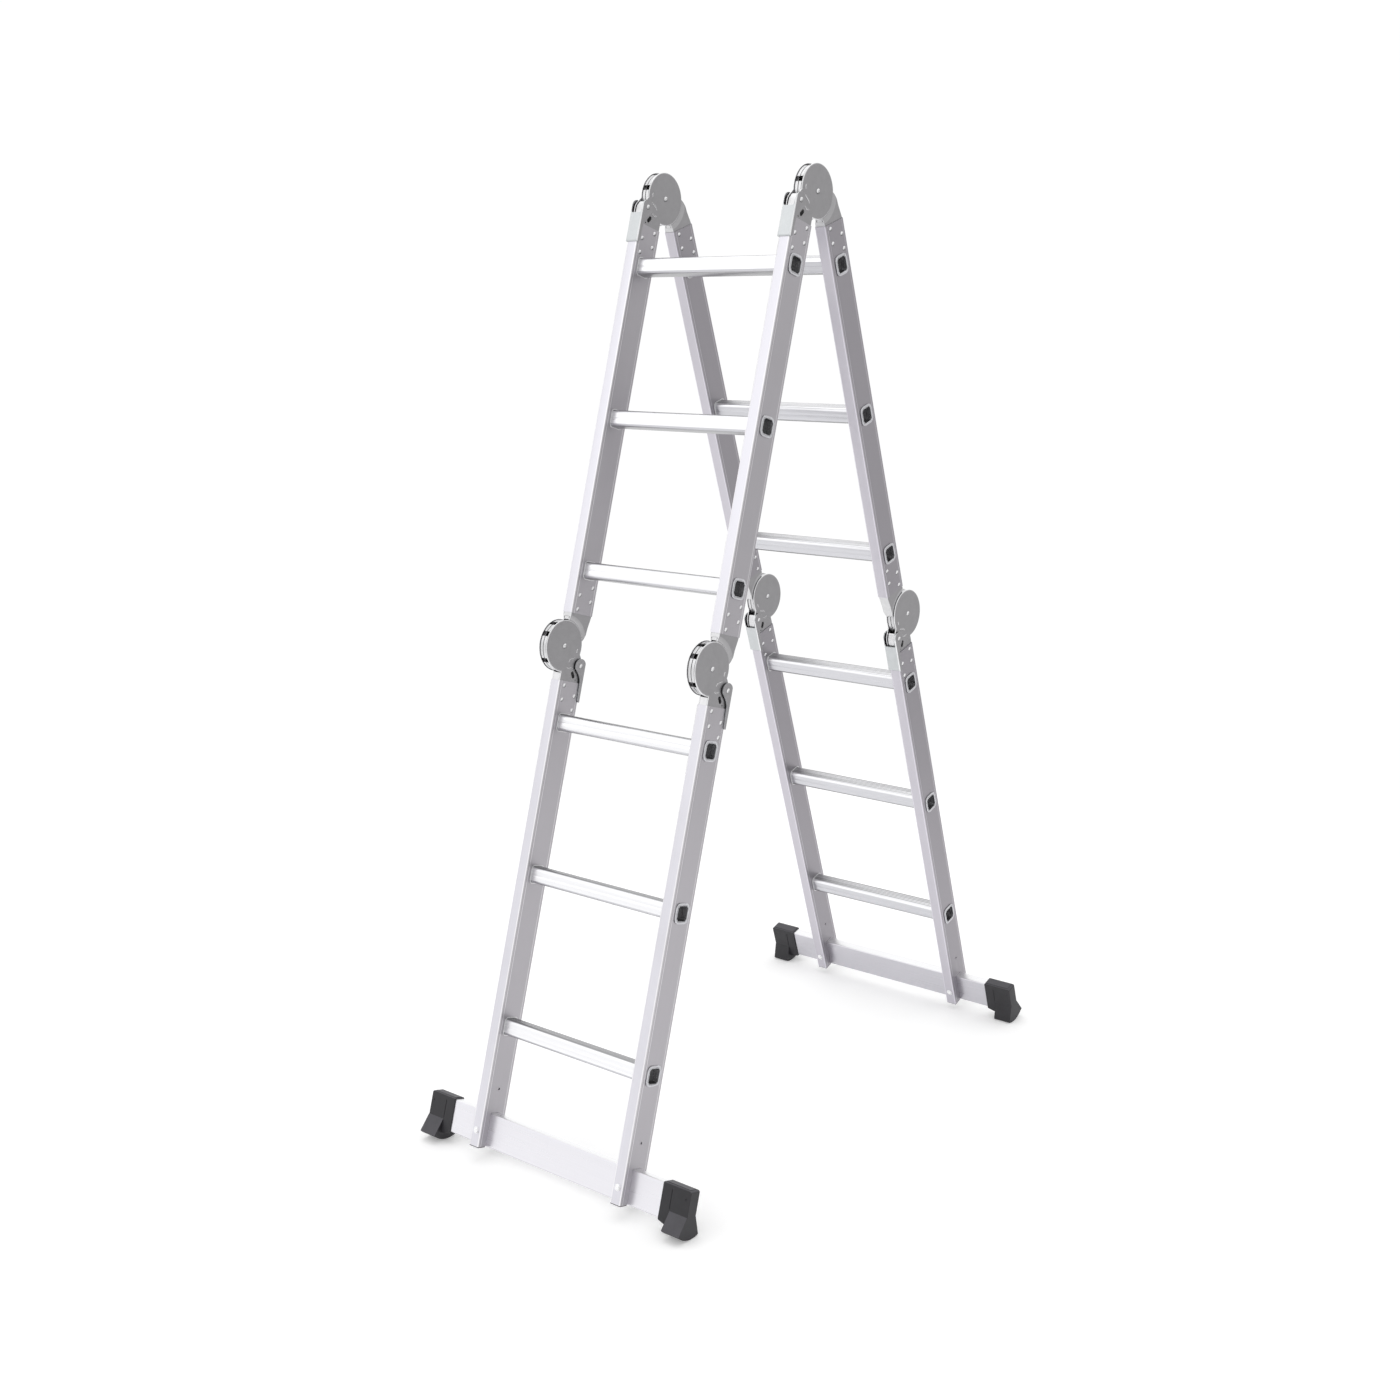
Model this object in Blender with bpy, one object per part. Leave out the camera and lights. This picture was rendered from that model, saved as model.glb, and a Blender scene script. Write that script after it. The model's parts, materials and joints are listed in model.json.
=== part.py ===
"""Multi position ladder: four hinged sections, standing as a stepladder.

Metres, +Z up, +X to the right, the front faces -Y.  The origin is on the floor, midway between the feet.

A leg is drawn in its own space: X across the ladder, Z up along the leg, and the top hinge's axis at the
origin, with the stiles on the -Y side of it.  Both legs share that drawing, and the rear one is turned
half a turn about Z.  A hinge is drawn in its own space too: its axis is X through the origin, the stiles
lie on the +Y side, the index bracket's arm runs up, and the cover bracket's arm runs down with the lever.
"""
import math

import bmesh
import bpy
from mathutils import Matrix, Vector

MM = 0.001

# Overall frame
LEG_ANGLE = math.radians(17.3)      # each leg from the vertical
WIDTH = 363 * MM                    # over the stiles
RUNG_PITCH = 280 * MM
HINGE_TO_RUNG = 137.3 * MM          # a hinge's axis to the rung below it, along the leg
HINGE_OFFSET = 30.4 * MM            # a hinge's axis to the stiles' middle plane
RUNGS_PER_SECTION = 3
FOOT_LENGTH = 221 * MM              # lowest rung to the end of the stile
GAP = 0.3 * MM                      # between neighbouring pieces
SIDES = {"left": -1, "right": 1}
WELD = 0.002 * MM
FLAT_ANGLE = math.radians(0.3)

# Stiles
STILE_DEPTH = 58 * MM
STILE_WIDTH = 23 * MM
STILE_WALL = 1.3 * MM
STILE_CORNER = 2.5 * MM
STILE_START = 62 * MM               # a hinge's axis to the end of the tube
BEAD = 22.5 * MM                    # a fine groove along each edge of the side faces, from the middle
BEAD_HALF = 0.8 * MM
BEAD_DEPTH = 0.4 * MM
DRAIN_UP = 105 * MM                 # drain hole, from the foot end of a lower stile
DRAIN_RADIUS = 2.5 * MM

# Rungs
RUNG_SIZE = 30 * MM
RUNG_CORNER = 6 * MM
RUNG_WALL = 2 * MM
TREAD_GROOVES = (-6 * MM, -2 * MM, 2 * MM, 6 * MM)
TREAD_GROOVE_HALF = 1.1 * MM
TREAD_GROOVE_DEPTH = 1 * MM
RIM_SIZE = 36 * MM
RIM_THICK = 1.6 * MM

# Hinges
DISC_RADIUS = 47.5 * MM
INDEX_RADIUS = 44.5 * MM
PLATE = 2.2 * MM
HUB_RADIUS = 9.5 * MM
RIM_DEPTH = 3 * MM                  # the index plates' rims, turned in until they almost meet
RIM_SPLIT = 0.7 * MM                # half of the space between the two rims
COVER_OUT = 10 * MM                 # outer face of the cover plates, from the stile's middle
COVER_IN = COVER_OUT - PLATE
INDEX_OUT = COVER_IN - GAP
INDEX_IN = INDEX_OUT - PLATE
JOGGLE_START = 48.2 * MM            # radius where the index plates begin to step outwards
JOGGLE_END = 57 * MM
ARM_END = 118 * MM
ARM_INSIDE = STILE_WALL + GAP       # arm edge, in from the stile's face
WEB_OVERLAP = 4 * MM                # a bracket's near web, into the stile
PIVOT_RADIUS = 3.3 * MM
PIVOT_HOLE = 3.9 * MM
PIVOT_HEAD = 4.8 * MM
LOCK_ANGLE = math.radians(-54.7)    # the way the lock bolt slides, from the hinge's axis
LOCK_POSITIONS = (0, 35, 82, 145.4, 178.4)
LOCK_WIDTH = 9 * MM
LOCK_START = 45.2 * MM
LOCK_LENGTH = 20 * MM
LOCK_PIN_AT = 57 * MM
LOCK_PIN_RADIUS = 3.4 * MM
LOCK_TRAVEL = 6 * MM
NOTCH_DEPTH = 6 * MM

# Release levers
LEVER_PIVOT = (48 * MM, -31 * MM)
LEVER_LOBE = 13.7 * MM
LEVER_PIN = 2.6 * MM
LEVER_PIN_HOLE = 3.1 * MM
LEVER_HALF_WIDTH = 14.3 * MM
LEVER_SHEET = 2.2 * MM
LEVER_TOP = -40 * MM
LEVER_END = -97 * MM

# Stabilizer bars and feet
BAR_THICK = 19.8 * MM
BAR_HEIGHT = 61 * MM
BAR_WALL = 1.8 * MM
BAR_CORNER = 2.3 * MM
BAR_END = 306 * MM
BOLT_UP = 29 * MM
BOLT_RADIUS = 3 * MM
BOLT_HOLE = 3.7 * MM
BOLT_HEAD = 5 * MM
CAP_START = 250 * MM
CAP_END = 310 * MM
CAP_HALF = 12 * MM
CAP_TOP = 63 * MM
SHOE_START = 272 * MM               # the splayed shoe, narrower than the cap
SHOE_TOP = 19 * MM
SHOE_HALF = 27 * MM
ROCKER_RADIUS = 50 * MM             # the sole is an arc about the bolt's height
ROCKER_UP = 29.5 * MM
TEETH_EACH_SIDE = 5
TOOTH_PITCH = LEG_ANGLE / 3         # so a tooth stands flat on the floor
TOOTH_LAND = TOOTH_PITCH * 0.66
TOOTH_ROOT = TOOTH_PITCH * 0.18
TOOTH_DEPTH = 1.6 * MM

STILE_X = WIDTH / 2 - STILE_WIDTH / 2
MID_HINGE_DOWN = RUNGS_PER_SECTION * RUNG_PITCH
STILE_Y = -HINGE_OFFSET
LEG_END = -(HINGE_TO_RUNG + (2 * RUNGS_PER_SECTION - 1) * RUNG_PITCH + FOOT_LENGTH)
# The feet stand on the flat land of a tooth, under the middle of the sole's arc
SOLE_DROP = ROCKER_RADIUS * math.cos(TOOTH_LAND / 2)
TOP_HINGE_Z = SOLE_DROP - (LEG_END + ROCKER_UP) * math.cos(LEG_ANGLE) - HINGE_OFFSET * math.sin(LEG_ANGLE)


# ---------------------------------------------------------------- tools

def clear_scene():
    for obj in list(bpy.data.objects):
        bpy.data.objects.remove(obj, do_unlink=True)


def new_collection(name):
    collection = bpy.data.collections.new(name)
    bpy.context.scene.collection.children.link(collection)
    return collection


def material(name, colour, roughness, metallic):
    mat = bpy.data.materials.new(name)
    mat.use_nodes = True
    shader = mat.node_tree.nodes["Principled BSDF"]
    shader.inputs["Base Color"].default_value = (*colour, 1.0)
    shader.inputs["Roughness"].default_value = roughness
    shader.inputs["Metallic"].default_value = metallic
    return mat


def arc(centre, radius, start, end, steps):
    """Points on an arc, both ends included; angles in degrees."""
    points = []
    for i in range(steps + 1):
        a = math.radians(start + (end - start) * i / steps)
        points.append((centre[0] + radius * math.cos(a), centre[1] + radius * math.sin(a)))
    return points


def rounded_rectangle(half_a, half_b, radius, steps):
    points = []
    corners = ((1, 1, 0), (-1, 1, 90), (-1, -1, 180), (1, -1, 270))
    for sign_a, sign_b, start in corners:
        centre = (sign_a * (half_a - radius), sign_b * (half_b - radius))
        points += arc(centre, radius, start, start + 90, steps)
    return points


def clean(mesh):
    """Weld, merge the faces that lie in one plane, and point every face outwards."""
    bm = bmesh.new()
    bm.from_mesh(mesh)
    bmesh.ops.remove_doubles(bm, verts=bm.verts, dist=WELD)
    bmesh.ops.dissolve_limit(bm, angle_limit=FLAT_ANGLE, verts=bm.verts, edges=bm.edges)
    bmesh.ops.recalc_face_normals(bm, faces=bm.faces)
    bm.to_mesh(mesh)
    bm.free()


def tool(name, mesh):
    """A helper solid: something that is joined into a piece or cut out of it."""
    obj = bpy.data.objects.new(name, mesh)
    obj.hide_render = True
    obj.display_type = "WIRE"
    CUTTERS.objects.link(obj)
    return obj


def prism(loops, low, high, along):
    """A flat outline with its holes, drawn in the plane across the axis, from low to high along it."""
    curve = bpy.data.curves.new("outline", "CURVE")
    curve.dimensions = "2D"
    curve.fill_mode = "BOTH"
    curve.extrude = (high - low) / 2
    for loop in loops:
        spline = curve.splines.new("POLY")
        spline.points.add(len(loop) - 1)
        for point, (a, b) in zip(spline.points, loop):
            point.co = (a, b, 0, 1)
        spline.use_cyclic_u = True
    flat = bpy.data.objects.new("outline", curve)
    CUTTERS.objects.link(flat)
    bpy.context.view_layer.update()
    mesh = bpy.data.meshes.new_from_object(flat.evaluated_get(bpy.context.evaluated_depsgraph_get()))
    bpy.data.objects.remove(flat, do_unlink=True)
    # The outline's two directions and its depth become the world's axes
    turns = {
        "Z": Matrix.Identity(4),
        "X": Matrix(((0, 0, 1, 0), (1, 0, 0, 0), (0, 1, 0, 0), (0, 0, 0, 1))),
        "Y": Matrix(((1, 0, 0, 0), (0, 0, -1, 0), (0, 1, 0, 0), (0, 0, 0, 1))),
    }
    shift = {"X": (1, 0, 0), "Y": (0, 1, 0), "Z": (0, 0, 1)}[along]
    middle = Vector(shift) * (low + high) / 2
    mesh.transform(Matrix.Translation(middle) @ turns[along])
    clean(mesh)
    return tool("prism", mesh)


def box(low, high):
    bm = bmesh.new()
    bmesh.ops.create_cube(bm, size=1)
    size = [b - a for a, b in zip(low, high)]
    middle = [(a + b) / 2 for a, b in zip(low, high)]
    bmesh.ops.transform(bm, matrix=Matrix.Translation(middle) @ Matrix.Diagonal((*size, 1)), verts=bm.verts)
    mesh = bpy.data.meshes.new("box")
    bm.to_mesh(mesh)
    bm.free()
    return tool("box", mesh)


def rod(radius, low, high, along, centre=(0, 0), segments=24, tip=None):
    """A cylinder along X or Y, or a cone where the high end's radius is given as tip."""
    bm = bmesh.new()
    end = radius if tip is None else tip
    bmesh.ops.create_cone(
        bm, cap_ends=True, segments=segments, radius1=radius, radius2=end, depth=high - low)
    turn = {"X": Matrix.Rotation(math.pi / 2, 4, "Y"), "Y": Matrix.Rotation(-math.pi / 2, 4, "X")}[along]
    middle = (low + high) / 2
    place = {"X": (middle, *centre), "Y": (centre[0], middle, centre[1])}[along]
    bmesh.ops.transform(bm, matrix=Matrix.Translation(place) @ turn, verts=bm.verts)
    mesh = bpy.data.meshes.new("rod")
    bm.to_mesh(mesh)
    bm.free()
    return tool("rod", mesh)


def turned(profile, segments):
    """A ring turned about X from (x, radius) points, listed so that its faces point out."""
    bm = bmesh.new()
    verts = [bm.verts.new((x, 0, radius)) for x, radius in profile]
    edges = [bm.edges.new((verts[i], verts[(i + 1) % len(verts)])) for i in range(len(verts))]
    bmesh.ops.spin(
        bm, geom=verts + edges, axis=(1, 0, 0), cent=(0, 0, 0), steps=segments, angle=2 * math.pi,
        use_merge=True)
    mesh = bpy.data.meshes.new("ring")
    bm.to_mesh(mesh)
    bm.free()
    clean(mesh)
    return tool("ring", mesh)


def combine(base, others, operation):
    """Boolean the others into base, one by one, and drop them."""
    for other in others:
        modifier = base.modifiers.new(operation, "BOOLEAN")
        modifier.operation = operation
        modifier.solver = "EXACT"
        modifier.object = other
    bpy.context.view_layer.update()
    mesh = bpy.data.meshes.new_from_object(base.evaluated_get(bpy.context.evaluated_depsgraph_get()))
    for obj in [base, *others]:
        bpy.data.objects.remove(obj, do_unlink=True)
    clean(mesh)
    return tool("solid", mesh)


def mirrored(make, low, high):
    """The same solid at +X and -X."""
    return [make(low, high), make(-high, -low)]


def finish_mesh(solid, name, mat, smooth_angle=30):
    mesh = solid.data
    mesh.name = name
    mesh.materials.clear()
    mesh.materials.append(mat)
    mesh.shade_smooth()
    mesh.set_sharp_from_angle(angle=math.radians(smooth_angle))
    bpy.data.objects.remove(solid, do_unlink=True)
    return mesh


def place(name, mesh, matrix):
    obj = bpy.data.objects.new(name, mesh)
    obj.matrix_world = matrix
    PARTS.objects.link(obj)
    return obj


# ---------------------------------------------------------------- stiles and rungs

def stile_outline():
    """Outer outline, with a fine bead groove along each edge of both side faces."""
    half_x = STILE_WIDTH / 2
    half_y = STILE_DEPTH / 2
    right = []
    for y in (-BEAD, BEAD):
        right += [(half_x, y - BEAD_HALF), (half_x - BEAD_DEPTH, y), (half_x, y + BEAD_HALF)]
    left = [(-x, -y) for x, y in right]
    corner = STILE_CORNER
    points = arc((half_x - corner, -half_y + corner), corner, -90, 0, 2)
    points += right
    points += arc((half_x - corner, half_y - corner), corner, 0, 90, 2)
    points += arc((-half_x + corner, half_y - corner), corner, 90, 180, 2)
    points += left
    points += arc((-half_x + corner, -half_y + corner), corner, 180, 270, 2)
    return points


def stile_tube(low, high, rung_heights, cuts):
    inner_x = STILE_WIDTH / 2 - STILE_WALL
    inner_y = STILE_DEPTH / 2 - STILE_WALL
    hole = [(inner_x, -inner_y), (inner_x, inner_y), (-inner_x, inner_y), (-inner_x, -inner_y)]
    tube = prism([stile_outline(), hole], low, high, "Z")
    opening = RUNG_SIZE / 2 + GAP
    for height in rung_heights:
        cuts.append(box(
            (-STILE_WIDTH, -opening, height - opening), (STILE_WIDTH, opening, height + opening)))
    return combine(tube, cuts, "DIFFERENCE")


def upper_stile():
    rungs = [-HINGE_TO_RUNG - i * RUNG_PITCH for i in range(RUNGS_PER_SECTION)]
    return stile_tube(-MID_HINGE_DOWN + STILE_START, -STILE_START, rungs, [])


def lower_stile():
    """A stile whose foot end is slotted for the stabilizer bar."""
    rungs = [-MID_HINGE_DOWN - HINGE_TO_RUNG - i * RUNG_PITCH for i in range(RUNGS_PER_SECTION)]
    slot_half = BAR_THICK / 2 + GAP
    slot = box(
        (-STILE_WIDTH, -slot_half, LEG_END - STILE_WALL),
        (STILE_WIDTH, slot_half, LEG_END + BAR_HEIGHT + GAP))
    bolt_hole = rod(BOLT_HOLE, -STILE_DEPTH, STILE_DEPTH, "Y", (0, LEG_END + BOLT_UP), 8)
    drain = rod(DRAIN_RADIUS, -STILE_WIDTH, STILE_WIDTH, "X", (0, LEG_END + DRAIN_UP), 6)
    return stile_tube(LEG_END, -MID_HINGE_DOWN - STILE_START, rungs, [slot, bolt_hole, drain])


def rung_outline():
    """A rounded square whose tread, on top, has anti-slip grooves, with one groove down the front and back."""
    half = RUNG_SIZE / 2
    corner = RUNG_CORNER
    groove = TREAD_GROOVE_HALF
    deep = half - TREAD_GROOVE_DEPTH
    points = arc((half - corner, -half + corner), corner, -90, 0, 2)
    points += [(half, -groove), (deep, 0), (half, groove)]
    points += arc((half - corner, half - corner), corner, 0, 90, 2)
    for y in reversed(TREAD_GROOVES):
        points += [(y + groove, half), (y, deep), (y - groove, half)]
    points += arc((-half + corner, half - corner), corner, 90, 180, 2)
    points += [(-half, groove), (-deep, 0), (-half, -groove)]
    points += arc((-half + corner, -half + corner), corner, 180, 270, 2)
    return points


def rung():
    """A hollow rung, right across both stiles, with its ends flared over their outer faces."""
    bore = rounded_rectangle(RUNG_SIZE / 2 - RUNG_WALL, RUNG_SIZE / 2 - RUNG_WALL, RUNG_CORNER - RUNG_WALL, 1)
    rim = rounded_rectangle(RIM_SIZE / 2, RIM_SIZE / 2, RUNG_CORNER + (RIM_SIZE - RUNG_SIZE) / 2, 2)
    rim_start = WIDTH / 2 + GAP
    rim_end = rim_start + RIM_THICK
    tube = prism([rung_outline(), bore], -rim_end + RIM_THICK / 2, rim_end - RIM_THICK / 2, "X")
    rims = [prism([rim, bore], rim_start, rim_end, "X"), prism([rim, bore], -rim_end, -rim_start, "X")]
    return combine(tube, rims, "UNION")


# ---------------------------------------------------------------- hinges

def radial_box(start, end, half_width, half_x, angle):
    """A block on a line out from the hinge's axis."""
    solid = box((-half_x, start, -half_width), (half_x, end, half_width))
    solid.data.transform(Matrix.Rotation(angle, 4, "X"))
    return solid


def arm_span():
    """The near and far edges of a bracket's arm, inside the stile tube."""
    near = HINGE_OFFSET - STILE_DEPTH / 2 + ARM_INSIDE
    far = HINGE_OFFSET + STILE_DEPTH / 2 - ARM_INSIDE
    return near, far


def cover_bracket():
    """Two flat plates outside the index plates, with a block and a web between them, and the lever's pin."""
    near, far = arm_span()
    neck = 14 * MM
    outline = arc((0, 0), DISC_RADIUS, -12, 270, 22)
    outline += [(near, -DISC_RADIUS - 1 * MM), (near, -ARM_END + neck / 2), (near + neck, -ARM_END)]
    outline += [(far - neck, -ARM_END), (far, -ARM_END + neck / 2), (far, LEVER_PIVOT[1])]
    outline += [(far - 4 * MM, LEVER_PIVOT[1] + 8 * MM)]
    plates = mirrored(lambda low, high: prism([outline], low, high, "X"), COVER_IN, COVER_OUT)
    block = box(
        (-COVER_IN - PLATE / 2, near + neck, -ARM_END + neck),
        (COVER_IN + PLATE / 2, far - neck, -STILE_START - neck))
    web = box(
        (-COVER_IN - PLATE / 2, near, -STILE_START - WEB_OVERLAP),
        (COVER_IN + PLATE / 2, near + PLATE, -DISC_RADIUS - 1.5 * MM))
    half = LEVER_HALF_WIDTH + 1 * MM
    pin = rod(LEVER_PIN, -half, half, "X", LEVER_PIVOT, 10)
    solid = combine(plates[0], [plates[1], block, web, pin], "UNION")
    hole = rod(PIVOT_HOLE, -STILE_WIDTH, STILE_WIDTH, "X", segments=10)
    slot_start = LOCK_PIN_AT - LOCK_PIN_RADIUS - 0.6 * MM
    slot_end = LOCK_PIN_AT + LOCK_PIN_RADIUS + LOCK_TRAVEL + 0.6 * MM
    slot = radial_box(slot_start, slot_end, LOCK_PIN_RADIUS + 0.6 * MM, STILE_WIDTH, LOCK_ANGLE)
    return combine(solid, [hole, slot], "DIFFERENCE")


def stepped_plate():
    """A plate turned about the axis, stepping from the index plate's level out to the cover plate's."""
    skim = 0.1 * MM     # the step is a little thinner than the disc that it joins
    beyond = 2 * ARM_END
    return turned([
        (INDEX_IN + PLATE / 2, INDEX_RADIUS - 4 * MM),
        (INDEX_OUT - skim, INDEX_RADIUS - 1 * MM),
        (INDEX_OUT - skim, JOGGLE_START),
        (COVER_OUT, JOGGLE_END),
        (COVER_OUT, beyond),
        (COVER_IN, beyond),
        (COVER_IN, JOGGLE_END + 1 * MM),
        (INDEX_IN + skim, JOGGLE_START + 1 * MM),
        (INDEX_IN + skim, INDEX_RADIUS - 1 * MM),
    ], 24)


def index_disc():
    """One index plate's disc, with its rim turned in towards the other plate."""
    bore = PIVOT_HEAD
    return turned([
        (INDEX_IN, bore),
        (INDEX_OUT, bore),
        (INDEX_OUT, INDEX_RADIUS),
        (RIM_SPLIT, INDEX_RADIUS),
        (RIM_SPLIT, INDEX_RADIUS - RIM_DEPTH),
        (INDEX_IN, INDEX_RADIUS - RIM_DEPTH),
    ], 24)


def index_arm_outline():
    """The part of the index bracket that stands out level with the stile, above the hinge's axis."""
    near, far = arm_span()
    neck = 14 * MM
    points = [(near, 0), (33 * MM, 2 * MM), (41 * MM, 8 * MM), (49 * MM, 19 * MM), (52.5 * MM, 39 * MM)]
    points += [(far - 1 * MM, STILE_START - 4 * MM), (far, STILE_START + 4 * MM)]
    points += [(far, ARM_END - neck / 2), (far - neck, ARM_END), (near + neck, ARM_END), (near, ARM_END - neck / 2)]
    return points


def index_bracket():
    """Two rimmed plates between the cover plates at the hinge, that step out level with them on the arm."""
    near, far = arm_span()
    neck = 14 * MM
    solids = []
    for side in (-1, 1):
        plate = stepped_plate()
        disc = index_disc()
        if side < 0:
            for piece in (plate, disc):
                piece.data.transform(Matrix.Diagonal((-1, 1, 1, 1)))
                clean(piece.data)
        arm_zone = prism([index_arm_outline()], -STILE_WIDTH, STILE_WIDTH, "X")
        arm = combine(plate, [arm_zone], "INTERSECT")
        solids += [disc, arm]
    hub = rod(HUB_RADIUS, -INDEX_IN - PLATE / 2, INDEX_IN + PLATE / 2, "X", segments=8)
    block = box(
        (-COVER_IN - PLATE / 2, near + neck, STILE_START + neck),
        (COVER_IN + PLATE / 2, far - neck, ARM_END - neck))
    step_middle = (JOGGLE_START + JOGGLE_END) / 2 + 2 * MM
    narrow_web = box(
        (-INDEX_IN - PLATE / 2, near, JOGGLE_START + 0.8 * MM),
        (INDEX_IN + PLATE / 2, near + PLATE, step_middle + 2 * MM))
    wide_web = box(
        (-COVER_IN - PLATE / 4, near, step_middle), (COVER_IN + PLATE / 4, near + PLATE, STILE_START + WEB_OVERLAP))
    solid = combine(solids[0], [*solids[1:], hub, block, narrow_web, wide_web], "UNION")
    cuts = [rod(PIVOT_HOLE, -STILE_WIDTH, STILE_WIDTH, "X", segments=10)]
    for position in LOCK_POSITIONS:
        angle = LOCK_ANGLE - math.radians(position)
        cuts.append(radial_box(
            INDEX_RADIUS - NOTCH_DEPTH, INDEX_RADIUS + 1.5 * MM, LOCK_WIDTH / 2 + GAP, INDEX_OUT + GAP / 2, angle))
    return combine(solid, cuts, "DIFFERENCE")


def pivot_rivet():
    """The hinge's axle: a rivet with a low crowned head on each side."""
    shank_end = COVER_OUT + GAP
    top = shank_end + 1.8 * MM
    middle = shank_end + 1 * MM
    crown = PIVOT_HEAD * 0.8
    shank = rod(PIVOT_RADIUS, -middle, middle, "X", segments=12)
    heads = [
        rod(PIVOT_HEAD, shank_end, top, "X", segments=16, tip=crown),
        rod(crown, -top, -shank_end, "X", segments=16, tip=PIVOT_HEAD),
    ]
    return combine(shank, heads, "UNION")


def lock_bolt():
    """The sliding bolt that locks the index plates, with its cross pin showing in the cover plates' slots."""
    body = radial_box(
        LOCK_START, LOCK_START + LOCK_LENGTH, LOCK_WIDTH / 2, COVER_IN - GAP - 0.1 * MM, LOCK_ANGLE)
    centre = (LOCK_PIN_AT * math.cos(LOCK_ANGLE), LOCK_PIN_AT * math.sin(LOCK_ANGLE))
    pin = rod(LOCK_PIN_RADIUS, -COVER_OUT + GAP, COVER_OUT - GAP, "X", centre, 12)
    return combine(body, [pin], "UNION")


def release_lever():
    """A folded steel lever that straddles the stile, with its web on the stile's face."""
    inner = HINGE_OFFSET + STILE_DEPTH / 2 + GAP + 0.2 * MM
    back = inner + LEVER_SHEET
    pu, pv = LEVER_PIVOT
    outline = arc(LEVER_PIVOT, LEVER_LOBE, 0, 180, 9)
    outline += [(pu - 8.5 * MM, pv - 11 * MM), (pu + 1.5 * MM, pv - 19 * MM), (pu + 5 * MM, pv - 30 * MM)]
    outline += [(pu + 7 * MM, LEVER_END + 3 * MM), (pu + 9 * MM, LEVER_END), (back - 2 * MM, LEVER_END)]
    outline += [(back, LEVER_END + 2 * MM)]
    half = LEVER_HALF_WIDTH
    solid = prism([outline], -half, half, "X")
    room = half - LEVER_SHEET
    inside = box((-room, 0, LEVER_END - 10 * MM), (room, inner, 0))
    mouth = box((-room, inner - 10 * MM, LEVER_TOP), (room, back + 10 * MM, 0))
    pin_hole = rod(LEVER_PIN_HOLE, -half - 1 * MM, half + 1 * MM, "X", LEVER_PIVOT, 10)
    return combine(solid, [inside, mouth, pin_hole], "DIFFERENCE")


# ---------------------------------------------------------------- stabilizer bars and feet

def stabilizer_bar():
    """A rectangular tube through both stiles, drilled for its bolts; Z is up from the stiles' ends."""
    outline = [(y, z + BAR_HEIGHT / 2) for y, z in rounded_rectangle(BAR_THICK / 2, BAR_HEIGHT / 2, BAR_CORNER, 2)]
    half_y = BAR_THICK / 2 - BAR_WALL
    half_z = BAR_HEIGHT / 2 - BAR_WALL
    bore = [(half_y, -half_z), (half_y, half_z), (-half_y, half_z), (-half_y, -half_z)]
    bore = [(y, z + BAR_HEIGHT / 2) for y, z in bore]
    tube = prism([outline, bore], -BAR_END, BAR_END, "X")
    holes = [rod(BOLT_HOLE, -BAR_THICK, BAR_THICK, "Y", (side * STILE_X, BOLT_UP), 8) for side in (-1, 1)]
    return combine(tube, holes, "DIFFERENCE")


def stabilizer_bolt():
    """A dome-headed bolt and its nut, through the stile and the bar along Y, with the head at -Y."""
    face = STILE_DEPTH / 2
    nut = 5 * MM
    shank = rod(BOLT_RADIUS, -face - 1 * MM, face + nut + 2 * MM, "Y", segments=8)
    head = rod(BOLT_HEAD, -face - 1.6 * MM, -face - GAP, "Y", segments=12)
    dome = rod(BOLT_HEAD * 0.5, -face - 3.2 * MM, -face - 1.5 * MM, "Y", segments=12, tip=BOLT_HEAD * 0.93)
    nut_body = rod(BOLT_HEAD + 0.5 * MM, face + GAP, face + nut, "Y", segments=6)
    return combine(shank, [head, dome, nut_body], "UNION")


def sole_outline():
    """The shoe seen from its end: a splayed wedge on a toothed arc."""
    centre = (0, ROCKER_UP)
    points = [(CAP_HALF, SHOE_TOP), (-CAP_HALF, SHOE_TOP)]
    corner_up = ROCKER_UP - math.sqrt(ROCKER_RADIUS ** 2 - SHOE_HALF ** 2)
    points += [(-SHOE_HALF, corner_up)]
    for i in range(-TEETH_EACH_SIDE, TEETH_EACH_SIDE + 1):
        middle = math.degrees(i * TOOTH_PITCH) - 90
        land = math.degrees(TOOTH_LAND) / 2
        root = math.degrees(TOOTH_ROOT) / 2
        valley = middle + math.degrees(TOOTH_PITCH) / 2
        points += arc(centre, ROCKER_RADIUS, middle - land, middle + land, 1)
        if i < TEETH_EACH_SIDE:
            points += arc(centre, ROCKER_RADIUS - TOOTH_DEPTH, valley - root, valley + root, 1)
    points += [(SHOE_HALF, corner_up)]
    return points


def foot():
    """A moulded end cap for the bar, at its +X end, with a splayed rocker shoe under it."""
    cap = [
        (CAP_START, CAP_TOP - 1.5 * MM), (CAP_START, -1.5 * MM), (CAP_START + 1.5 * MM, -2.5 * MM),
        (CAP_START + 14 * MM, -6 * MM), (SHOE_START + 4 * MM, -8 * MM), (CAP_END, -8 * MM),
        (CAP_END, CAP_TOP - 3 * MM), (CAP_END - 3 * MM, CAP_TOP), (CAP_START + 1.5 * MM, CAP_TOP),
    ]
    body = prism([cap], -CAP_HALF, CAP_HALF, "Y")
    shoe = prism([sole_outline()], SHOE_START, CAP_END, "X")
    solid = combine(body, [shoe], "UNION")
    cavity = box(
        (CAP_START - 5 * MM, -BAR_THICK / 2 - GAP, -GAP),
        (BAR_END + GAP, BAR_THICK / 2 + GAP, BAR_HEIGHT + GAP))
    seams = []
    for side in (-1, 1):
        low, high = sorted((side * (CAP_HALF - 0.6 * MM), side * (CAP_HALF + 5 * MM)))
        seams.append(box(
            (SHOE_START - 1.2 * MM, low, SHOE_TOP + 4 * MM), (SHOE_START - 0.2 * MM, high, CAP_TOP - 4 * MM)))
    return combine(solid, [cavity, *seams], "DIFFERENCE")


# ---------------------------------------------------------------- assembly

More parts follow.
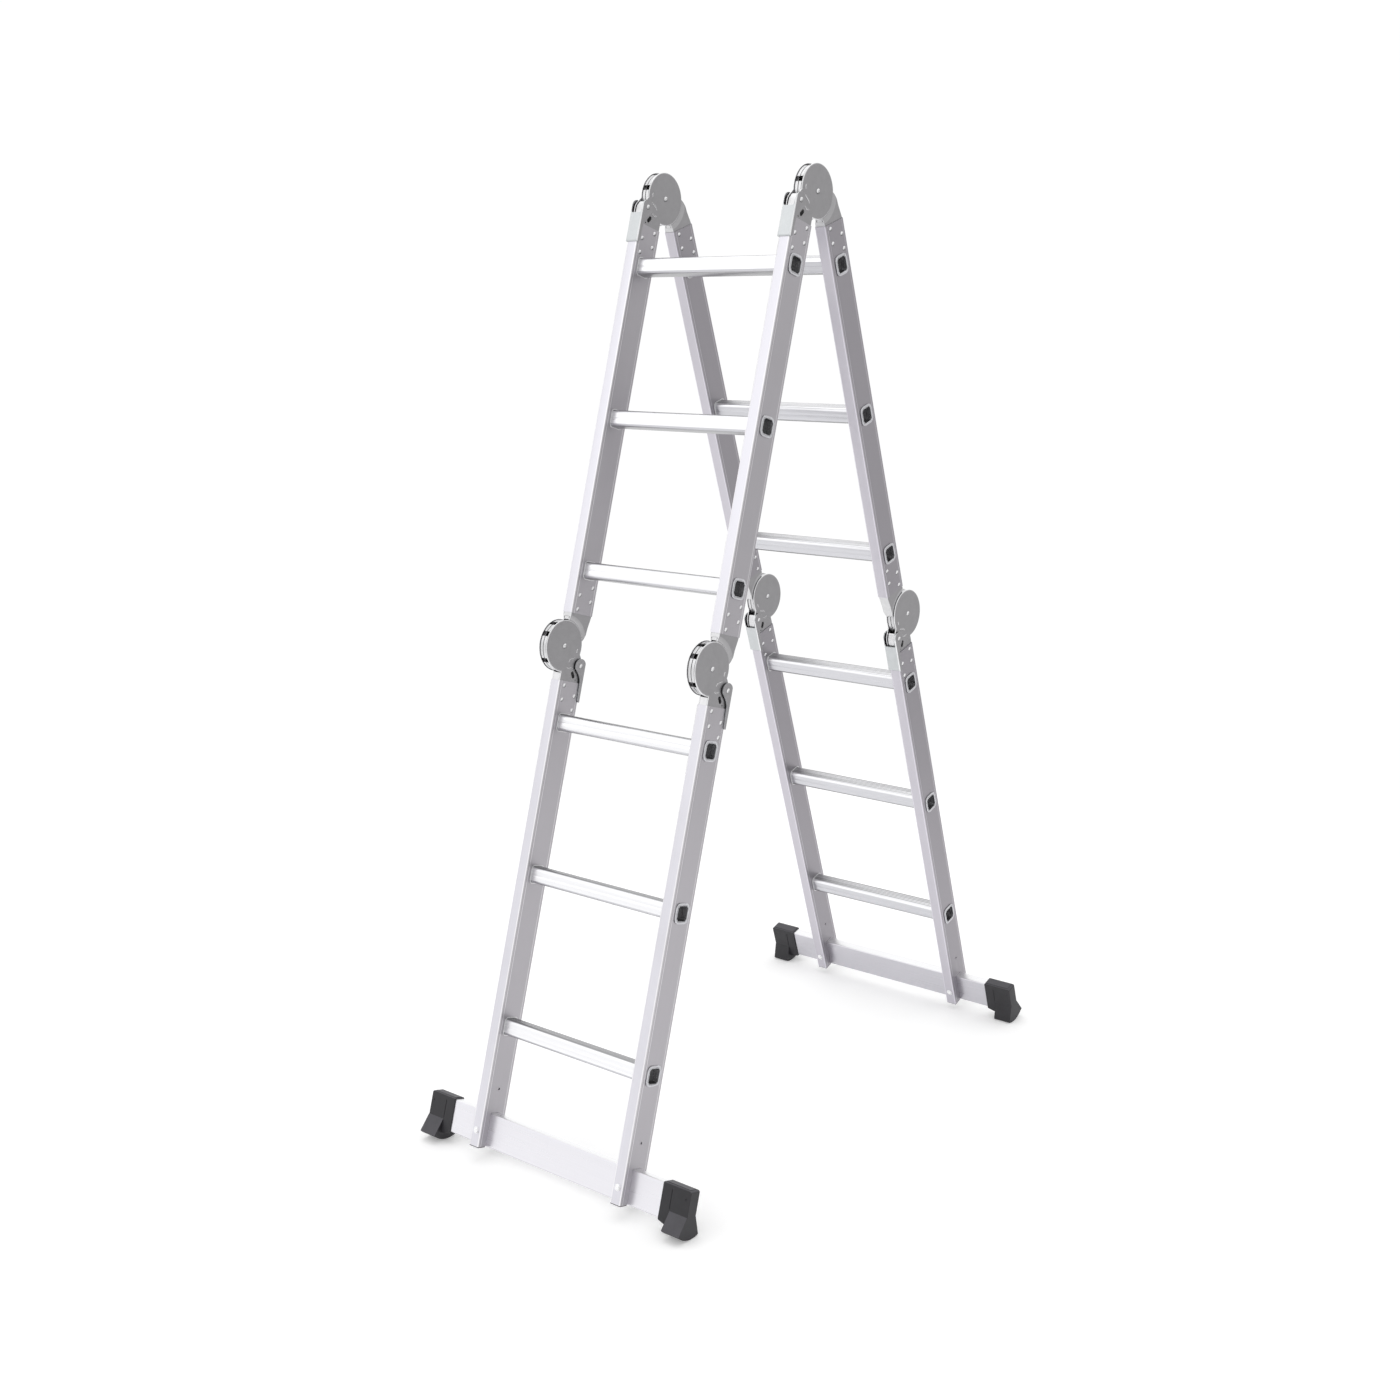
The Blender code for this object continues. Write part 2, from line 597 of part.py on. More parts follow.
def leg_matrices():
    top = Matrix.Translation((0, 0, TOP_HINGE_Z))
    lean = Matrix.Rotation(-LEG_ANGLE, 4, "X")
    return {"front": top @ lean, "rear": top @ Matrix.Rotation(math.pi, 4, "Z") @ lean}


def assemble():
    aluminium = material("brushed_aluminium", (0.80, 0.80, 0.82), 0.32, 1.0)
    rung_metal = material("rung_aluminium", (0.83, 0.83, 0.84), 0.30, 1.0)
    steel = material("zinc_plated_steel", (0.56, 0.57, 0.58), 0.38, 1.0)
    lever_steel = material("lever_steel", (0.62, 0.65, 0.68), 0.35, 1.0)
    fastener = material("bright_steel", (0.70, 0.70, 0.70), 0.25, 1.0)
    plastic = material("black_plastic", (0.045, 0.045, 0.05), 0.55, 0.0)

    stiles = {
        "upper": finish_mesh(upper_stile(), "upper_stile", aluminium),
        "lower": finish_mesh(lower_stile(), "lower_stile", aluminium),
    }
    rung_mesh = finish_mesh(rung(), "rung", rung_metal)
    cover_mesh = finish_mesh(cover_bracket(), "cover_bracket", steel)
    index_mesh = finish_mesh(index_bracket(), "index_bracket", steel)
    rivet_mesh = finish_mesh(pivot_rivet(), "pivot_rivet", fastener)
    lock_mesh = finish_mesh(lock_bolt(), "lock_bolt", fastener)
    lever_mesh = finish_mesh(release_lever(), "release_lever", lever_steel)
    bar_mesh = finish_mesh(stabilizer_bar(), "stabilizer_bar", aluminium)
    bolt_mesh = finish_mesh(stabilizer_bolt(), "stabilizer_bolt", fastener)
    foot_mesh = finish_mesh(foot(), "foot", plastic)

    half_turn = Matrix.Rotation(math.pi, 4, "Z")
    flip = Matrix.Rotation(math.pi, 4, "X")
    legs = leg_matrices()

    for leg, matrix in legs.items():
        # The rear leg is turned about Z, so its own left is the ladder's right
        turn = 1 if leg == "front" else -1
        for side, sign in SIDES.items():
            x = sign * turn * STILE_X
            stile_at = matrix @ Matrix.Translation((x, STILE_Y, 0))
            for level, mesh in stiles.items():
                place(f"{leg}_{level}_stile_{side}", mesh, stile_at)

            mid = matrix @ Matrix.Translation((x, -2 * HINGE_OFFSET, -MID_HINGE_DOWN))
            name = f"{leg}_mid_hinge_{side}"
            place(f"{name}_index_bracket", index_mesh, mid)
            place(f"{name}_cover_bracket", cover_mesh, mid)
            place(f"{name}_rivet", rivet_mesh, mid)
            place(f"{name}_lock_bolt", lock_mesh, mid)
            place(f"{name}_lever", lever_mesh, mid)

            end = matrix @ Matrix.Translation((0, STILE_Y, LEG_END))
            foot_turn = Matrix.Identity(4) if sign * turn > 0 else half_turn
            place(f"{leg}_foot_{side}", foot_mesh, end @ foot_turn)
            bolt_at = Matrix.Translation((x, 0, BOLT_UP))
            # Every bolt's head faces the ladder's front
            bolt_turn = Matrix.Identity(4) if turn > 0 else half_turn
            place(f"{leg}_stabilizer_bolt_{side}", bolt_mesh, end @ bolt_at @ bolt_turn)
        for level, start in (("upper", 0), ("lower", -MID_HINGE_DOWN)):
            for i in range(RUNGS_PER_SECTION):
                height = start - HINGE_TO_RUNG - i * RUNG_PITCH
                place(f"{leg}_{level}_rung_{i + 1}", rung_mesh, matrix @ Matrix.Translation((0, STILE_Y, height)))
        place(f"{leg}_stabilizer_bar", bar_mesh, matrix @ Matrix.Translation((0, STILE_Y, LEG_END)))

    for side, sign in SIDES.items():
        at = Matrix.Translation((sign * STILE_X, 0, 0))
        front = legs["front"] @ at @ half_turn
        rear = legs["rear"] @ Matrix.Translation((-sign * STILE_X, 0, 0)) @ flip
        name = f"top_hinge_{side}"
        place(f"{name}_index_bracket", index_mesh, rear)
        place(f"{name}_cover_bracket", cover_mesh, front)
        place(f"{name}_rivet", rivet_mesh, front)
        place(f"{name}_lock_bolt", lock_mesh, front)
        place(f"{name}_lever", lever_mesh, front)


clear_scene()
PARTS = new_collection("multi_position_ladder")
CUTTERS = new_collection("cutters")
assemble()
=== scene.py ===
"""Looks for the multi position ladder: fine hinge, foot and fastener pieces, materials, studio and camera."""

import json
import math

import bmesh
import bpy
from mathutils import Matrix, Vector


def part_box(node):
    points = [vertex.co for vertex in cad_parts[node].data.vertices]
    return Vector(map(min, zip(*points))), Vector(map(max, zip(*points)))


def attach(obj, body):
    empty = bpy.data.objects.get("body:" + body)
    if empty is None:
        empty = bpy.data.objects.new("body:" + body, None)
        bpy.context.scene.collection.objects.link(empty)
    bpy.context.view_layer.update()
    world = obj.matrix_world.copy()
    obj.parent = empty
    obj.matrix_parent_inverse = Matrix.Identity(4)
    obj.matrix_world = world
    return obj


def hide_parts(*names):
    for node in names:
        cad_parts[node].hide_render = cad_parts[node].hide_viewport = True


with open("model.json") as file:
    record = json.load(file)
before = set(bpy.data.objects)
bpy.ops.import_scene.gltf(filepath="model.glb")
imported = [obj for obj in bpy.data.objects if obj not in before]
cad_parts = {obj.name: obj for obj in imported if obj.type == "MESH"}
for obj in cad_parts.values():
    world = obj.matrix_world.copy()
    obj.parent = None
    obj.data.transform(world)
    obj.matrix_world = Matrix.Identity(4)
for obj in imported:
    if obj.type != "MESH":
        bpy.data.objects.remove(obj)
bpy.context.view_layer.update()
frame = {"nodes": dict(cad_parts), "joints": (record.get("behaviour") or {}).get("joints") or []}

MM = 0.001
SIDES = {"left": -1, "right": 1}

# The ladder's own dimensions, taken from the frame where it states them
JOINTS = {joint["name"]: joint for joint in frame["joints"]}
TOP_HINGE = Vector(JOINTS["top_hinge"]["pos_m"])
HINGE_OFFSET = 30.4 * MM        # a hinge's axis to the stiles' middle plane
MID_HINGE_DOWN = 840 * MM       # top hinge's axis to a middle hinge's, along the leg
RUNG_PITCH = 280 * MM
RUNGS_PER_SECTION = 3
HINGE_TO_RUNG = 137.3 * MM      # a hinge's axis to the next rung below it, along the leg
RUNG_HALF = 15 * MM
RUNG_CORNER = 6 * MM
STILE_DEPTH = 58 * MM
STILE_WIDTH = 23 * MM
STILE_HALF = STILE_WIDTH / 2
STILE_START = 62 * MM           # a hinge's axis to the stile's cut end
STILE_LOW, STILE_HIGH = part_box("front_upper_stile_right")
STILE_X = (STILE_LOW.x + STILE_HIGH.x) / 2
LEG_END = -1758.3 * MM          # the stiles' lower ends, along the leg from the top hinge
FOOT_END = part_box("front_foot_right")[1].x


def leg_lean():
    """The legs' angle from the vertical, from the top and middle hinge axes."""
    mid = Vector(JOINTS["front_mid_hinge"]["pos_m"]) - TOP_HINGE
    return math.atan2(-mid.y, -mid.z) - math.atan2(2 * HINGE_OFFSET, MID_HINGE_DOWN)


LEAN = leg_lean()
LEGS = {
    "front": Matrix.Translation(TOP_HINGE) @ Matrix.Rotation(-LEAN, 4, "X"),
    "rear": Matrix.Translation(TOP_HINGE) @ Matrix.Rotation(math.pi, 4, "Z") @ Matrix.Rotation(-LEAN, 4, "X"),
}
HALF_TURN = Matrix.Rotation(math.pi, 4, "Z")
FLIP = Matrix.Rotation(math.pi, 4, "X")


# ---------------------------------------------------------------- mesh tools

def arc(centre, radius, start, end, steps):
    """Points on an arc, both ends included; angles in degrees."""
    points = []
    for i in range(steps + 1):
        a = math.radians(start + (end - start) * i / steps)
        points.append((centre[0] + radius * math.cos(a), centre[1] + radius * math.sin(a)))
    return points


def rounded_rectangle(half_a, half_b, radius, steps):
    """A closed outline about the origin, with an arc at each corner."""
    points = []
    for sign_a, sign_b, start in ((1, 1, 0), (-1, 1, 90), (-1, -1, 180), (1, -1, 270)):
        centre = (sign_a * (half_a - radius), sign_b * (half_b - radius))
        points += arc(centre, radius, start, start + 90, steps)
    return points


def clean(mesh):
    """Weld doubled points, merge flat faces and turn all normals outwards."""
    bm = bmesh.new()
    bm.from_mesh(mesh)
    bmesh.ops.remove_doubles(bm, verts=bm.verts, dist=2e-6)
    bmesh.ops.dissolve_limit(bm, angle_limit=math.radians(0.2), verts=bm.verts, edges=bm.edges)
    bmesh.ops.recalc_face_normals(bm, faces=bm.faces)
    bm.to_mesh(mesh)
    bm.free()


def new_object(name, data):
    obj = bpy.data.objects.new(name, data)
    bpy.context.scene.collection.objects.link(obj)
    return obj


def written(bm, name):
    """A finished bmesh as a new object."""
    mesh = bpy.data.meshes.new(name)
    bm.to_mesh(mesh)
    bm.free()
    return new_object(name, mesh)


def evaluated_mesh(obj):
    """The object's mesh with its modifiers applied."""
    bpy.context.view_layer.update()
    depsgraph = bpy.context.evaluated_depsgraph_get()
    return bpy.data.meshes.new_from_object(obj.evaluated_get(depsgraph))


def prism(loops, low, high, along):
    """A flat outline with its holes, drawn in the plane across the axis, from low to high along it."""
    curve = bpy.data.curves.new("outline", "CURVE")
    curve.dimensions = "2D"
    curve.fill_mode = "BOTH"
    curve.extrude = (high - low) / 2
    for loop in loops:
        spline = curve.splines.new("POLY")
        spline.points.add(len(loop) - 1)
        for point, (a, b) in zip(spline.points, loop):
            point.co = (a, b, 0, 1)
        spline.use_cyclic_u = True
    flat = new_object("outline", curve)
    mesh = evaluated_mesh(flat)
    bpy.data.objects.remove(flat, do_unlink=True)
    turns = {
        "Z": Matrix.Identity(4),
        "X": Matrix(((0, 0, 1, 0), (1, 0, 0, 0), (0, 1, 0, 0), (0, 0, 0, 1))),
        "Y": Matrix(((1, 0, 0, 0), (0, 0, -1, 0), (0, 1, 0, 0), (0, 0, 0, 1))),
    }
    shift = {"X": (1, 0, 0), "Y": (0, 1, 0), "Z": (0, 0, 1)}[along]
    mesh.transform(Matrix.Translation(Vector(shift) * (low + high) / 2) @ turns[along])
    clean(mesh)
    return new_object("prism", mesh)


def box(low, high):
    bm = bmesh.new()
    bmesh.ops.create_cube(bm, size=1)
    size = [b - a for a, b in zip(low, high)]
    middle = [(a + b) / 2 for a, b in zip(low, high)]
    fitted = Matrix.Translation(middle) @ Matrix.Diagonal((*size, 1))
    bmesh.ops.transform(bm, matrix=fitted, verts=bm.verts)
    return written(bm, "box")


def turned(profile, segments, along="X", centre=(0, 0, 0)):
    """A solid of revolution about X or Y, from (position along the axis, radius) points."""
    bm = bmesh.new()
    verts = [bm.verts.new((x, 0, radius)) for x, radius in profile]
    edges = [bm.edges.new(pair) for pair in zip(verts, verts[1:])]
    if profile[0][1] > 0 and profile[-1][1] > 0:
        edges.append(bm.edges.new((verts[-1], verts[0])))
    bmesh.ops.spin(
        bm, geom=verts + edges, axis=(1, 0, 0), cent=(0, 0, 0), steps=segments, angle=2 * math.pi,
        use_merge=True)
    bmesh.ops.remove_doubles(bm, verts=bm.verts, dist=1e-6)
    bmesh.ops.recalc_face_normals(bm, faces=bm.faces)
    solid = written(bm, "turned")
    turn = Matrix.Identity(4) if along == "X" else Matrix.Rotation(math.pi / 2, 4, "Z")
    solid.data.transform(Matrix.Translation(centre) @ turn)
    return solid


def combine(base, others, operation):
    """Boolean the others into base, one by one, and drop them."""
    for other in others:
        modifier = base.modifiers.new(operation, "BOOLEAN")
        modifier.operation = operation
        modifier.solver = "EXACT"
        modifier.object = other
    mesh = evaluated_mesh(base)
    for obj in [base, *others]:
        bpy.data.objects.remove(obj, do_unlink=True)
    clean(mesh)
    return new_object("solid", mesh)


def rounded(solid, width, segments=2, angle=30):
    """The same solid with its sharp edges rounded."""
    bevel = solid.modifiers.new("edges", "BEVEL")
    bevel.width = width
    bevel.segments = segments
    bevel.limit_method = "ANGLE"
    bevel.angle_limit = math.radians(angle)
    bevel.use_clamp_overlap = True
    mesh = evaluated_mesh(solid)
    bpy.data.objects.remove(solid, do_unlink=True)
    return new_object("rounded", mesh)


def taken_mesh(solid, mat, smooth_angle=35):
    """The solid's mesh, shaded and with its material, ready for one or more pieces."""
    mesh = solid.data
    bpy.data.objects.remove(solid, do_unlink=True)
    mesh.materials.clear()
    mesh.materials.append(mat)
    mesh.shade_smooth()
    mesh.set_sharp_from_angle(angle=math.radians(smooth_angle))
    return mesh


def joined(solids):
    """Several separate bodies as one mesh, such as a set of rivet heads."""
    bm = bmesh.new()
    for solid in solids:
        bm.from_mesh(solid.data)
        bpy.data.objects.remove(solid, do_unlink=True)
    return written(bm, "joined")


def add_piece(name, mesh, matrix, body, replaced=()):
    """One piece of the look, with its place written into its own copy of the mesh."""
    mesh = mesh.copy()
    mesh.transform(matrix)
    piece = new_object(name, mesh)
    modifier = piece.modifiers.new("weighted", "WEIGHTED_NORMAL")
    modifier.keep_sharp = True
    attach(piece, body)
    if replaced:
        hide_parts(*replaced)
    return piece


# ---------------------------------------------------------------- materials

class Look:
    """A small helper around one material's nodes."""

    def __init__(self, name, colour, roughness, metallic):
        self.material = bpy.data.materials.new(name)
        self.material.use_nodes = True
        self.nodes = self.material.node_tree.nodes
        self.links = self.material.node_tree.links
        self.shader = self.nodes["Principled BSDF"]
        self.shader.inputs["Metallic"].default_value = metallic
        self.shader.inputs["Roughness"].default_value = roughness
        self.shader.inputs["Base Color"].default_value = (*colour, 1)
        self.coordinates = self.nodes.new("ShaderNodeTexCoord")

    def noise(self, stretch, turn=0.0, detail=4.0, rough=0.55):
        """Noise in the piece's own coordinates, stretched by scale along each axis, turned about X."""
        turner = self.nodes.new("ShaderNodeVectorRotate")
        turner.rotation_type = "X_AXIS"
        turner.inputs["Angle"].default_value = turn
        self.links.new(self.coordinates.outputs["Object"], turner.inputs["Vector"])
        mapping = self.nodes.new("ShaderNodeMapping")
        mapping.inputs["Scale"].default_value = stretch
        self.links.new(turner.outputs["Vector"], mapping.inputs["Vector"])
        noise = self.nodes.new("ShaderNodeTexNoise")
        noise.inputs["Scale"].default_value = 1
        noise.inputs["Detail"].default_value = detail
        noise.inputs["Roughness"].default_value = rough
        self.links.new(mapping.outputs["Vector"], noise.inputs["Vector"])
        return noise.outputs["Fac"]

    def spread(self, value, low, high, start=0.3, end=0.7):
        """A value remapped from the noise's usual range."""
        remap = self.nodes.new("ShaderNodeMapRange")
        remap.inputs["From Min"].default_value = start
        remap.inputs["From Max"].default_value = end
        remap.inputs["To Min"].default_value = low
        remap.inputs["To Max"].default_value = high
        self.links.new(value, remap.inputs["Value"])
        return remap.outputs["Result"]

    def mixer(self):
        """A colour mix node with nothing linked yet."""
        mix = self.nodes.new("ShaderNodeMix")
        mix.data_type = "RGBA"
        return mix

    def mixed(self, value, first, second):
        """A mix of two fixed colours."""
        mix = self.mixer()
        mix.inputs["A"].default_value = (*first, 1)
        mix.inputs["B"].default_value = (*second, 1)
        self.links.new(value, mix.inputs["Factor"])
        return mix.outputs["Result"]

    def sideways(self):
        """How far the face looks along X, which no hinge can change."""
        geometry = self.nodes.new("ShaderNodeNewGeometry")
        split = self.nodes.new("ShaderNodeSeparateXYZ")
        self.links.new(geometry.outputs["True Normal"], split.inputs["Vector"])
        size = self.nodes.new("ShaderNodeMath")
        size.operation = "ABSOLUTE"
        self.links.new(split.outputs["X"], size.inputs[0])
        return size.outputs["Value"]

    def towards(self, direction):
        """How far the surface faces a direction fixed in its piece, from -1 to 1."""
        dot = self.nodes.new("ShaderNodeVectorMath")
        dot.operation = "DOT_PRODUCT"
        dot.inputs[1].default_value = direction
        self.links.new(self.coordinates.outputs["Normal"], dot.inputs[0])
        return dot.outputs["Value"]

    def ramp(self, value, stops):
        """Colours along a value from -1 to 1, as rising (value, colour) stops."""
        node = self.nodes.new("ShaderNodeValToRGB")
        elements = node.color_ramp.elements
        while len(elements) < len(stops):
            elements.new(0.5)
        for element, (at, colour) in zip(elements, stops):
            element.position = (at + 1) / 2
            element.color = (*colour, 1)
        self.links.new(self.spread(value, 0, 1, -1, 1), node.inputs["Fac"])
        return node.outputs["Color"]

    def blended(self, value, first, second):
        """A mix of two colour outputs."""
        mix = self.mixer()
        self.links.new(value, mix.inputs["Factor"])
        self.links.new(first, mix.inputs["A"])
        self.links.new(second, mix.inputs["B"])
        return mix.outputs["Result"]

    def multiplied(self, first, second):
        mix = self.mixer()
        mix.blend_type = "MULTIPLY"
        mix.inputs["Factor"].default_value = 1
        self.links.new(first, mix.inputs["A"])
        self.links.new(second, mix.inputs["B"])
        return mix.outputs["Result"]

    def varied(self, colour, value, low=0.93):
        """A colour that a noise value darkens a little in places."""
        return self.mixed(self.spread(value, 0, 1), tuple(c * low for c in colour), colour)

    def add(self, one, two):
        total = self.nodes.new("ShaderNodeMath")
        total.operation = "ADD"
        self.links.new(one, total.inputs[0])
        self.links.new(two, total.inputs[1])
        return total.outputs["Value"]

    def bump(self, value, strength, distance):
        bump = self.nodes.new("ShaderNodeBump")
        bump.inputs["Strength"].default_value = strength
        bump.inputs["Distance"].default_value = distance
        self.links.new(value, bump.inputs["Height"])
        self.links.new(bump.outputs["Normal"], self.shader.inputs["Normal"])

    def colour_from(self, output):
        self.links.new(output, self.shader.inputs["Base Color"])

    def roughness_from(self, output):
        self.links.new(output, self.shader.inputs["Roughness"])


ALONG_LEG = (900, 900, 3)       # noise stretched into lines along a leg
ALONG_X = (3, 900, 900)
CORNER_HIGHLIGHT_MOST = 0.97              # the brightest that a stile's painted corner highlight may be


def stile_aluminium(name, front, side, turn):
    """Satin extrusion with die lines and handling marks, with painted shade on its side faces and a painted
    highlight along its corners.
    """
    look = Look(name, front, 0.36, 1.0)
    lines = look.noise(ALONG_LEG, turn, detail=3)
    broad = look.noise((9, 9, 9), turn, detail=5, rough=0.6)
    marks = look.spread(look.add(lines, broad), 0.3, 0.7, 0.7, 1.3)
    # Painted light by which way a face looks along X: the front tone, a painted highlight on the corners and
    # painted shade on the side faces
    corner = tuple(min(c * 1.3, CORNER_HIGHLIGHT_MOST) for c in front)
    stops = [(0.0, front), (0.2, front), (0.3, corner), (0.8, corner), (0.97, side)]
    tone = look.ramp(look.sideways(), stops)
    look.colour_from(look.multiplied(tone, look.varied((1, 1, 1), marks)))
    look.roughness_from(look.add(look.spread(lines, 0.24, 0.34), look.spread(broad, 0.04, 0.12)))
    look.bump(lines, 0.10, 0.00006)
    return look.material


def tread_aluminium(name, bright, shade, painted_top_bottom):
    """A rung or bar: satin lines along X, with painted light and shade by which way a face looks: a painted
    top and bottom tone (painted shade on a rung, a painted highlight on a bar) and painted shade on its far
    side and ends.
    """
    look = Look(name, bright, 0.34, 1.0)
    lines = look.noise(ALONG_X, 0, detail=3)
    grit = look.noise((1200, 1200, 1200), 0, detail=2)
    # Painted light and shade by how far a face looks up: the painted top and bottom tone, shade on faces
    # turned a little down, the bright tone on faces turned up
    stops = [(-1.0, painted_top_bottom), (-0.72, painted_top_bottom), (-0.55, shade), (-0.1, shade), (0.05, bright)]
    stops += [(0.80, bright), (0.90, painted_top_bottom), (1.0, painted_top_bottom)]
    tone = look.ramp(look.towards((0, 0, 1)), stops)
    # Painted shade on the ends
    ends = look.spread(look.sideways(), 0, 1, 0.8, 0.95)
    tone = look.blended(ends, tone, look.varied(shade, grit, 0.8))
    streak = look.varied((1, 1, 1), look.spread(look.add(lines, grit), 0.3, 0.7, 0.6, 1.4))
    look.colour_from(look.multiplied(tone, streak))
    look.roughness_from(look.spread(lines, 0.26, 0.38))
    look.bump(lines, 0.10, 0.00006)
    return look.material


def pressed_steel(name, edge, fold, face, rough):
    """Zinc plated pressed steel: dull mottled cheeks with fine pits, with a painted highlight on its edges
    and a painted glint along its folds.
    """
    look = Look(name, face, rough, 1.0)
    mottle = look.noise((70, 70, 70), 0, detail=6, rough=0.65)
    fine = look.noise((900, 900, 900), 0, detail=3)
    # Painted highlight on the edges and painted glint on the folds, by how far a face looks along X
    stops = [(0.0, edge), (0.25, edge), (0.45, fold), (0.8, fold), (0.985, face)]
    tone = look.ramp(look.sideways(), stops)
    look.colour_from(look.multiplied(tone, look.varied((1, 1, 1), mottle, 0.9)))
    look.roughness_from(look.add(look.spread(mottle, rough - 0.06, rough), look.spread(fine, 0, 0.08)))
    look.bump(fine, 0.12, 0.00008)
    return look.material


def moulded_plastic(name, colour):
    """Black moulded plastic with a fine spark-eroded grain, lighter where it faces up."""
    look = Look(name, colour, 0.5, 0.0)
    grain = look.noise((1400, 1400, 1400), detail=2)
    bloom = look.noise((35, 35, 35), detail=5, rough=0.6)
    lighter_up = tuple(c * 2.6 + 0.006 for c in colour)
    stops = [(-1.0, colour), (0.32, colour), (0.62, lighter_up), (1.0, lighter_up)]
    tone = look.ramp(look.towards((0, 0, 1)), stops)
    look.colour_from(look.multiplied(tone, look.varied((1, 1, 1), bloom, 0.72)))
    look.roughness_from(look.add(look.spread(bloom, 0.36, 0.48), look.spread(grain, 0, 0.1)))
    look.bump(grain, 0.3, 0.0001)
    look.shader.inputs["Specular IOR Level"].default_value = 0.35
    return look.material


def lit_and_shaded_steel(name):
    """Plated fasteners: crowns with a painted highlight on the side towards the light and painted shade on
    their lee side.
    """
    look = Look(name, (0.70, 0.70, 0.71), 0.25, 1.0)
    fine = look.noise((500, 500, 500), detail=4)
    # Painted shade on the lee side, painted highlight where the crown faces up and towards -Y
    stops = [(-1.0, (0.10, 0.10, 0.10)), (-0.35, (0.14, 0.14, 0.14)), (-0.05, (0.42, 0.42, 0.43))]
    stops += [(0.12, (0.96, 0.96, 0.97)), (1.0, (0.96, 0.96, 0.97))]
    tone = look.ramp(look.towards((0, -0.6, 0.8)), stops)
    look.colour_from(look.multiplied(tone, look.varied((1, 1, 1), fine, 0.88)))
    look.roughness_from(look.spread(fine, 0.2, 0.34))
    return look.material


# Painted highlight on edges and painted glint on folds, over the plates' darker face tone
STEEL_EDGE_HIGHLIGHT = (0.80, 0.80, 0.81)
STEEL_FOLD_GLINT = (0.93, 0.93, 0.94)
STEEL_FACE = (0.345, 0.34, 0.35)
LOOKS = {
    # Both legs' stiles are one extrusion; the rear leg's copy is darker as painted shade
    "stile_front": stile_aluminium("stile_front", (0.74, 0.73, 0.78), (0.44, 0.425, 0.45), LEAN),
    "stile_rear": stile_aluminium("stile_rear", (0.60, 0.58, 0.63), (0.34, 0.325, 0.35), -LEAN),
    # Rung: painted shade on its top and bottom; bar: a painted highlight on its top and bottom
    "rung": tread_aluminium("rung", (0.95, 0.95, 0.97), (0.66, 0.66, 0.69), (0.42, 0.42, 0.43)),
    "bar": tread_aluminium("bar", (0.84, 0.83, 0.87), (0.66, 0.65, 0.69), (0.98, 0.98, 0.99)),
    "collar": pressed_steel("rung_collar", (0.80, 0.80, 0.82), (0.9, 0.9, 0.9), (0.6, 0.6, 0.61), 0.3),
    "hinge": pressed_steel("hinge_plate", STEEL_EDGE_HIGHLIGHT, STEEL_FOLD_GLINT, STEEL_FACE, 0.38),
    "index": pressed_steel("index_plate", (0.70, 0.70, 0.71), STEEL_FOLD_GLINT, (0.35, 0.345, 0.355), 0.34),
    "lever": pressed_steel("lever_steel", (0.60, 0.62, 0.63), STEEL_FOLD_GLINT, STEEL_FACE, 0.34),
    "fastener": lit_and_shaded_steel("fastener_steel"),
    # Near-black steel for the lock bolt: painted shade in the cover plates' slots
    "lock": pressed_steel("lock_steel_in_painted_shade", (0.05, 0.05, 0.05), (0.12, 0.12, 0.12), (0.035, 0.035, 0.036), 0.45),
    "plastic": moulded_plastic("foot_plastic", (0.030, 0.029, 0.033)),
    "plug": moulded_plastic("plug_plastic", (0.008, 0.008, 0.009)),
    # Dark plastic for the rung-end plugs, painted shade inside the open tubes
    "rung_shade_plug": moulded_plastic("rung_shade_plug_plastic", (0.05, 0.05, 0.053)),
}


def dress_cad_node(node, mat):
    """A CAD node keeps its mesh: it gets its material and smooth shading over its rounded corners."""
    obj = frame["nodes"][node]
    obj.data.materials.clear()
    obj.data.materials.append(mat)
    weld = obj.modifiers.new("weld", "WELD")
    weld.merge_threshold = 0.00001
    obj.data.shade_smooth()
    obj.data.set_sharp_from_angle(angle=math.radians(50))
    normals = obj.modifiers.new("normals", "WEIGHTED_NORMAL")
    normals.keep_sharp = True


def dress_extrusions():
    """The stiles, rungs and bars, which keep their CAD shapes."""
    for node in frame["nodes"]:
        leg = node.split("_")[0]
        if "stile" in node:
            dress_cad_node(node, LOOKS[f"stile_{leg}"])
        elif "rung" in node:
            dress_cad_node(node, LOOKS["rung"])
        elif node.endswith("stabilizer_bar"):
            dress_cad_node(node, LOOKS["bar"])


# ---------------------------------------------------------------- hinges

# Hinge space: the axis is X through the origin, the stiles lie on +Y, the index bracket's arm runs up,
# and the cover bracket's arm runs down with the lever.
DISC_RADIUS = 47.2 * MM         # just inside the CAD disc's flats
FACE_RADIUS = 43.6 * MM         # the disc's flat face, inside its rolled edge
INDEX_RADIUS = 46 * MM          # a little over the CAD's, so that the drum's rims lie nearly level
PLATE = 2.2 * MM
COVER_OUT = 10 * MM
COVER_IN = COVER_OUT - PLATE
INDEX_OUT = COVER_IN - 0.3 * MM
INDEX_IN = INDEX_OUT - PLATE
RIM_DEPTH = 3 * MM
RIM_SPLIT = 0.6 * MM            # half the gap between the two index rims
HUB_RADIUS = 9.5 * MM
JOGGLE_START = 48.2 * MM        # the index plates step out between these two radii
JOGGLE_END = 57 * MM
ARM_END = 118 * MM
ARM_INSET = 1.6 * MM            # an arm's edges, in from the stile's faces
NEAR = HINGE_OFFSET - STILE_DEPTH / 2 + ARM_INSET
FAR = HINGE_OFFSET + STILE_DEPTH / 2 - ARM_INSET
NECK = 14 * MM                  # how far an arm's end narrows on each side
WEB_OVERLAP = 4 * MM
EASE = 0.3 * MM                 # plates' play and small broken edges
SKIM = 0.02 * MM                # keeps parts that meet from sharing a face
DISC_SEGMENTS = 96
ROLL_STEPS = 7
PIVOT_HOLE = 3.9 * MM
PIVOT_SHANK = 3.3 * MM
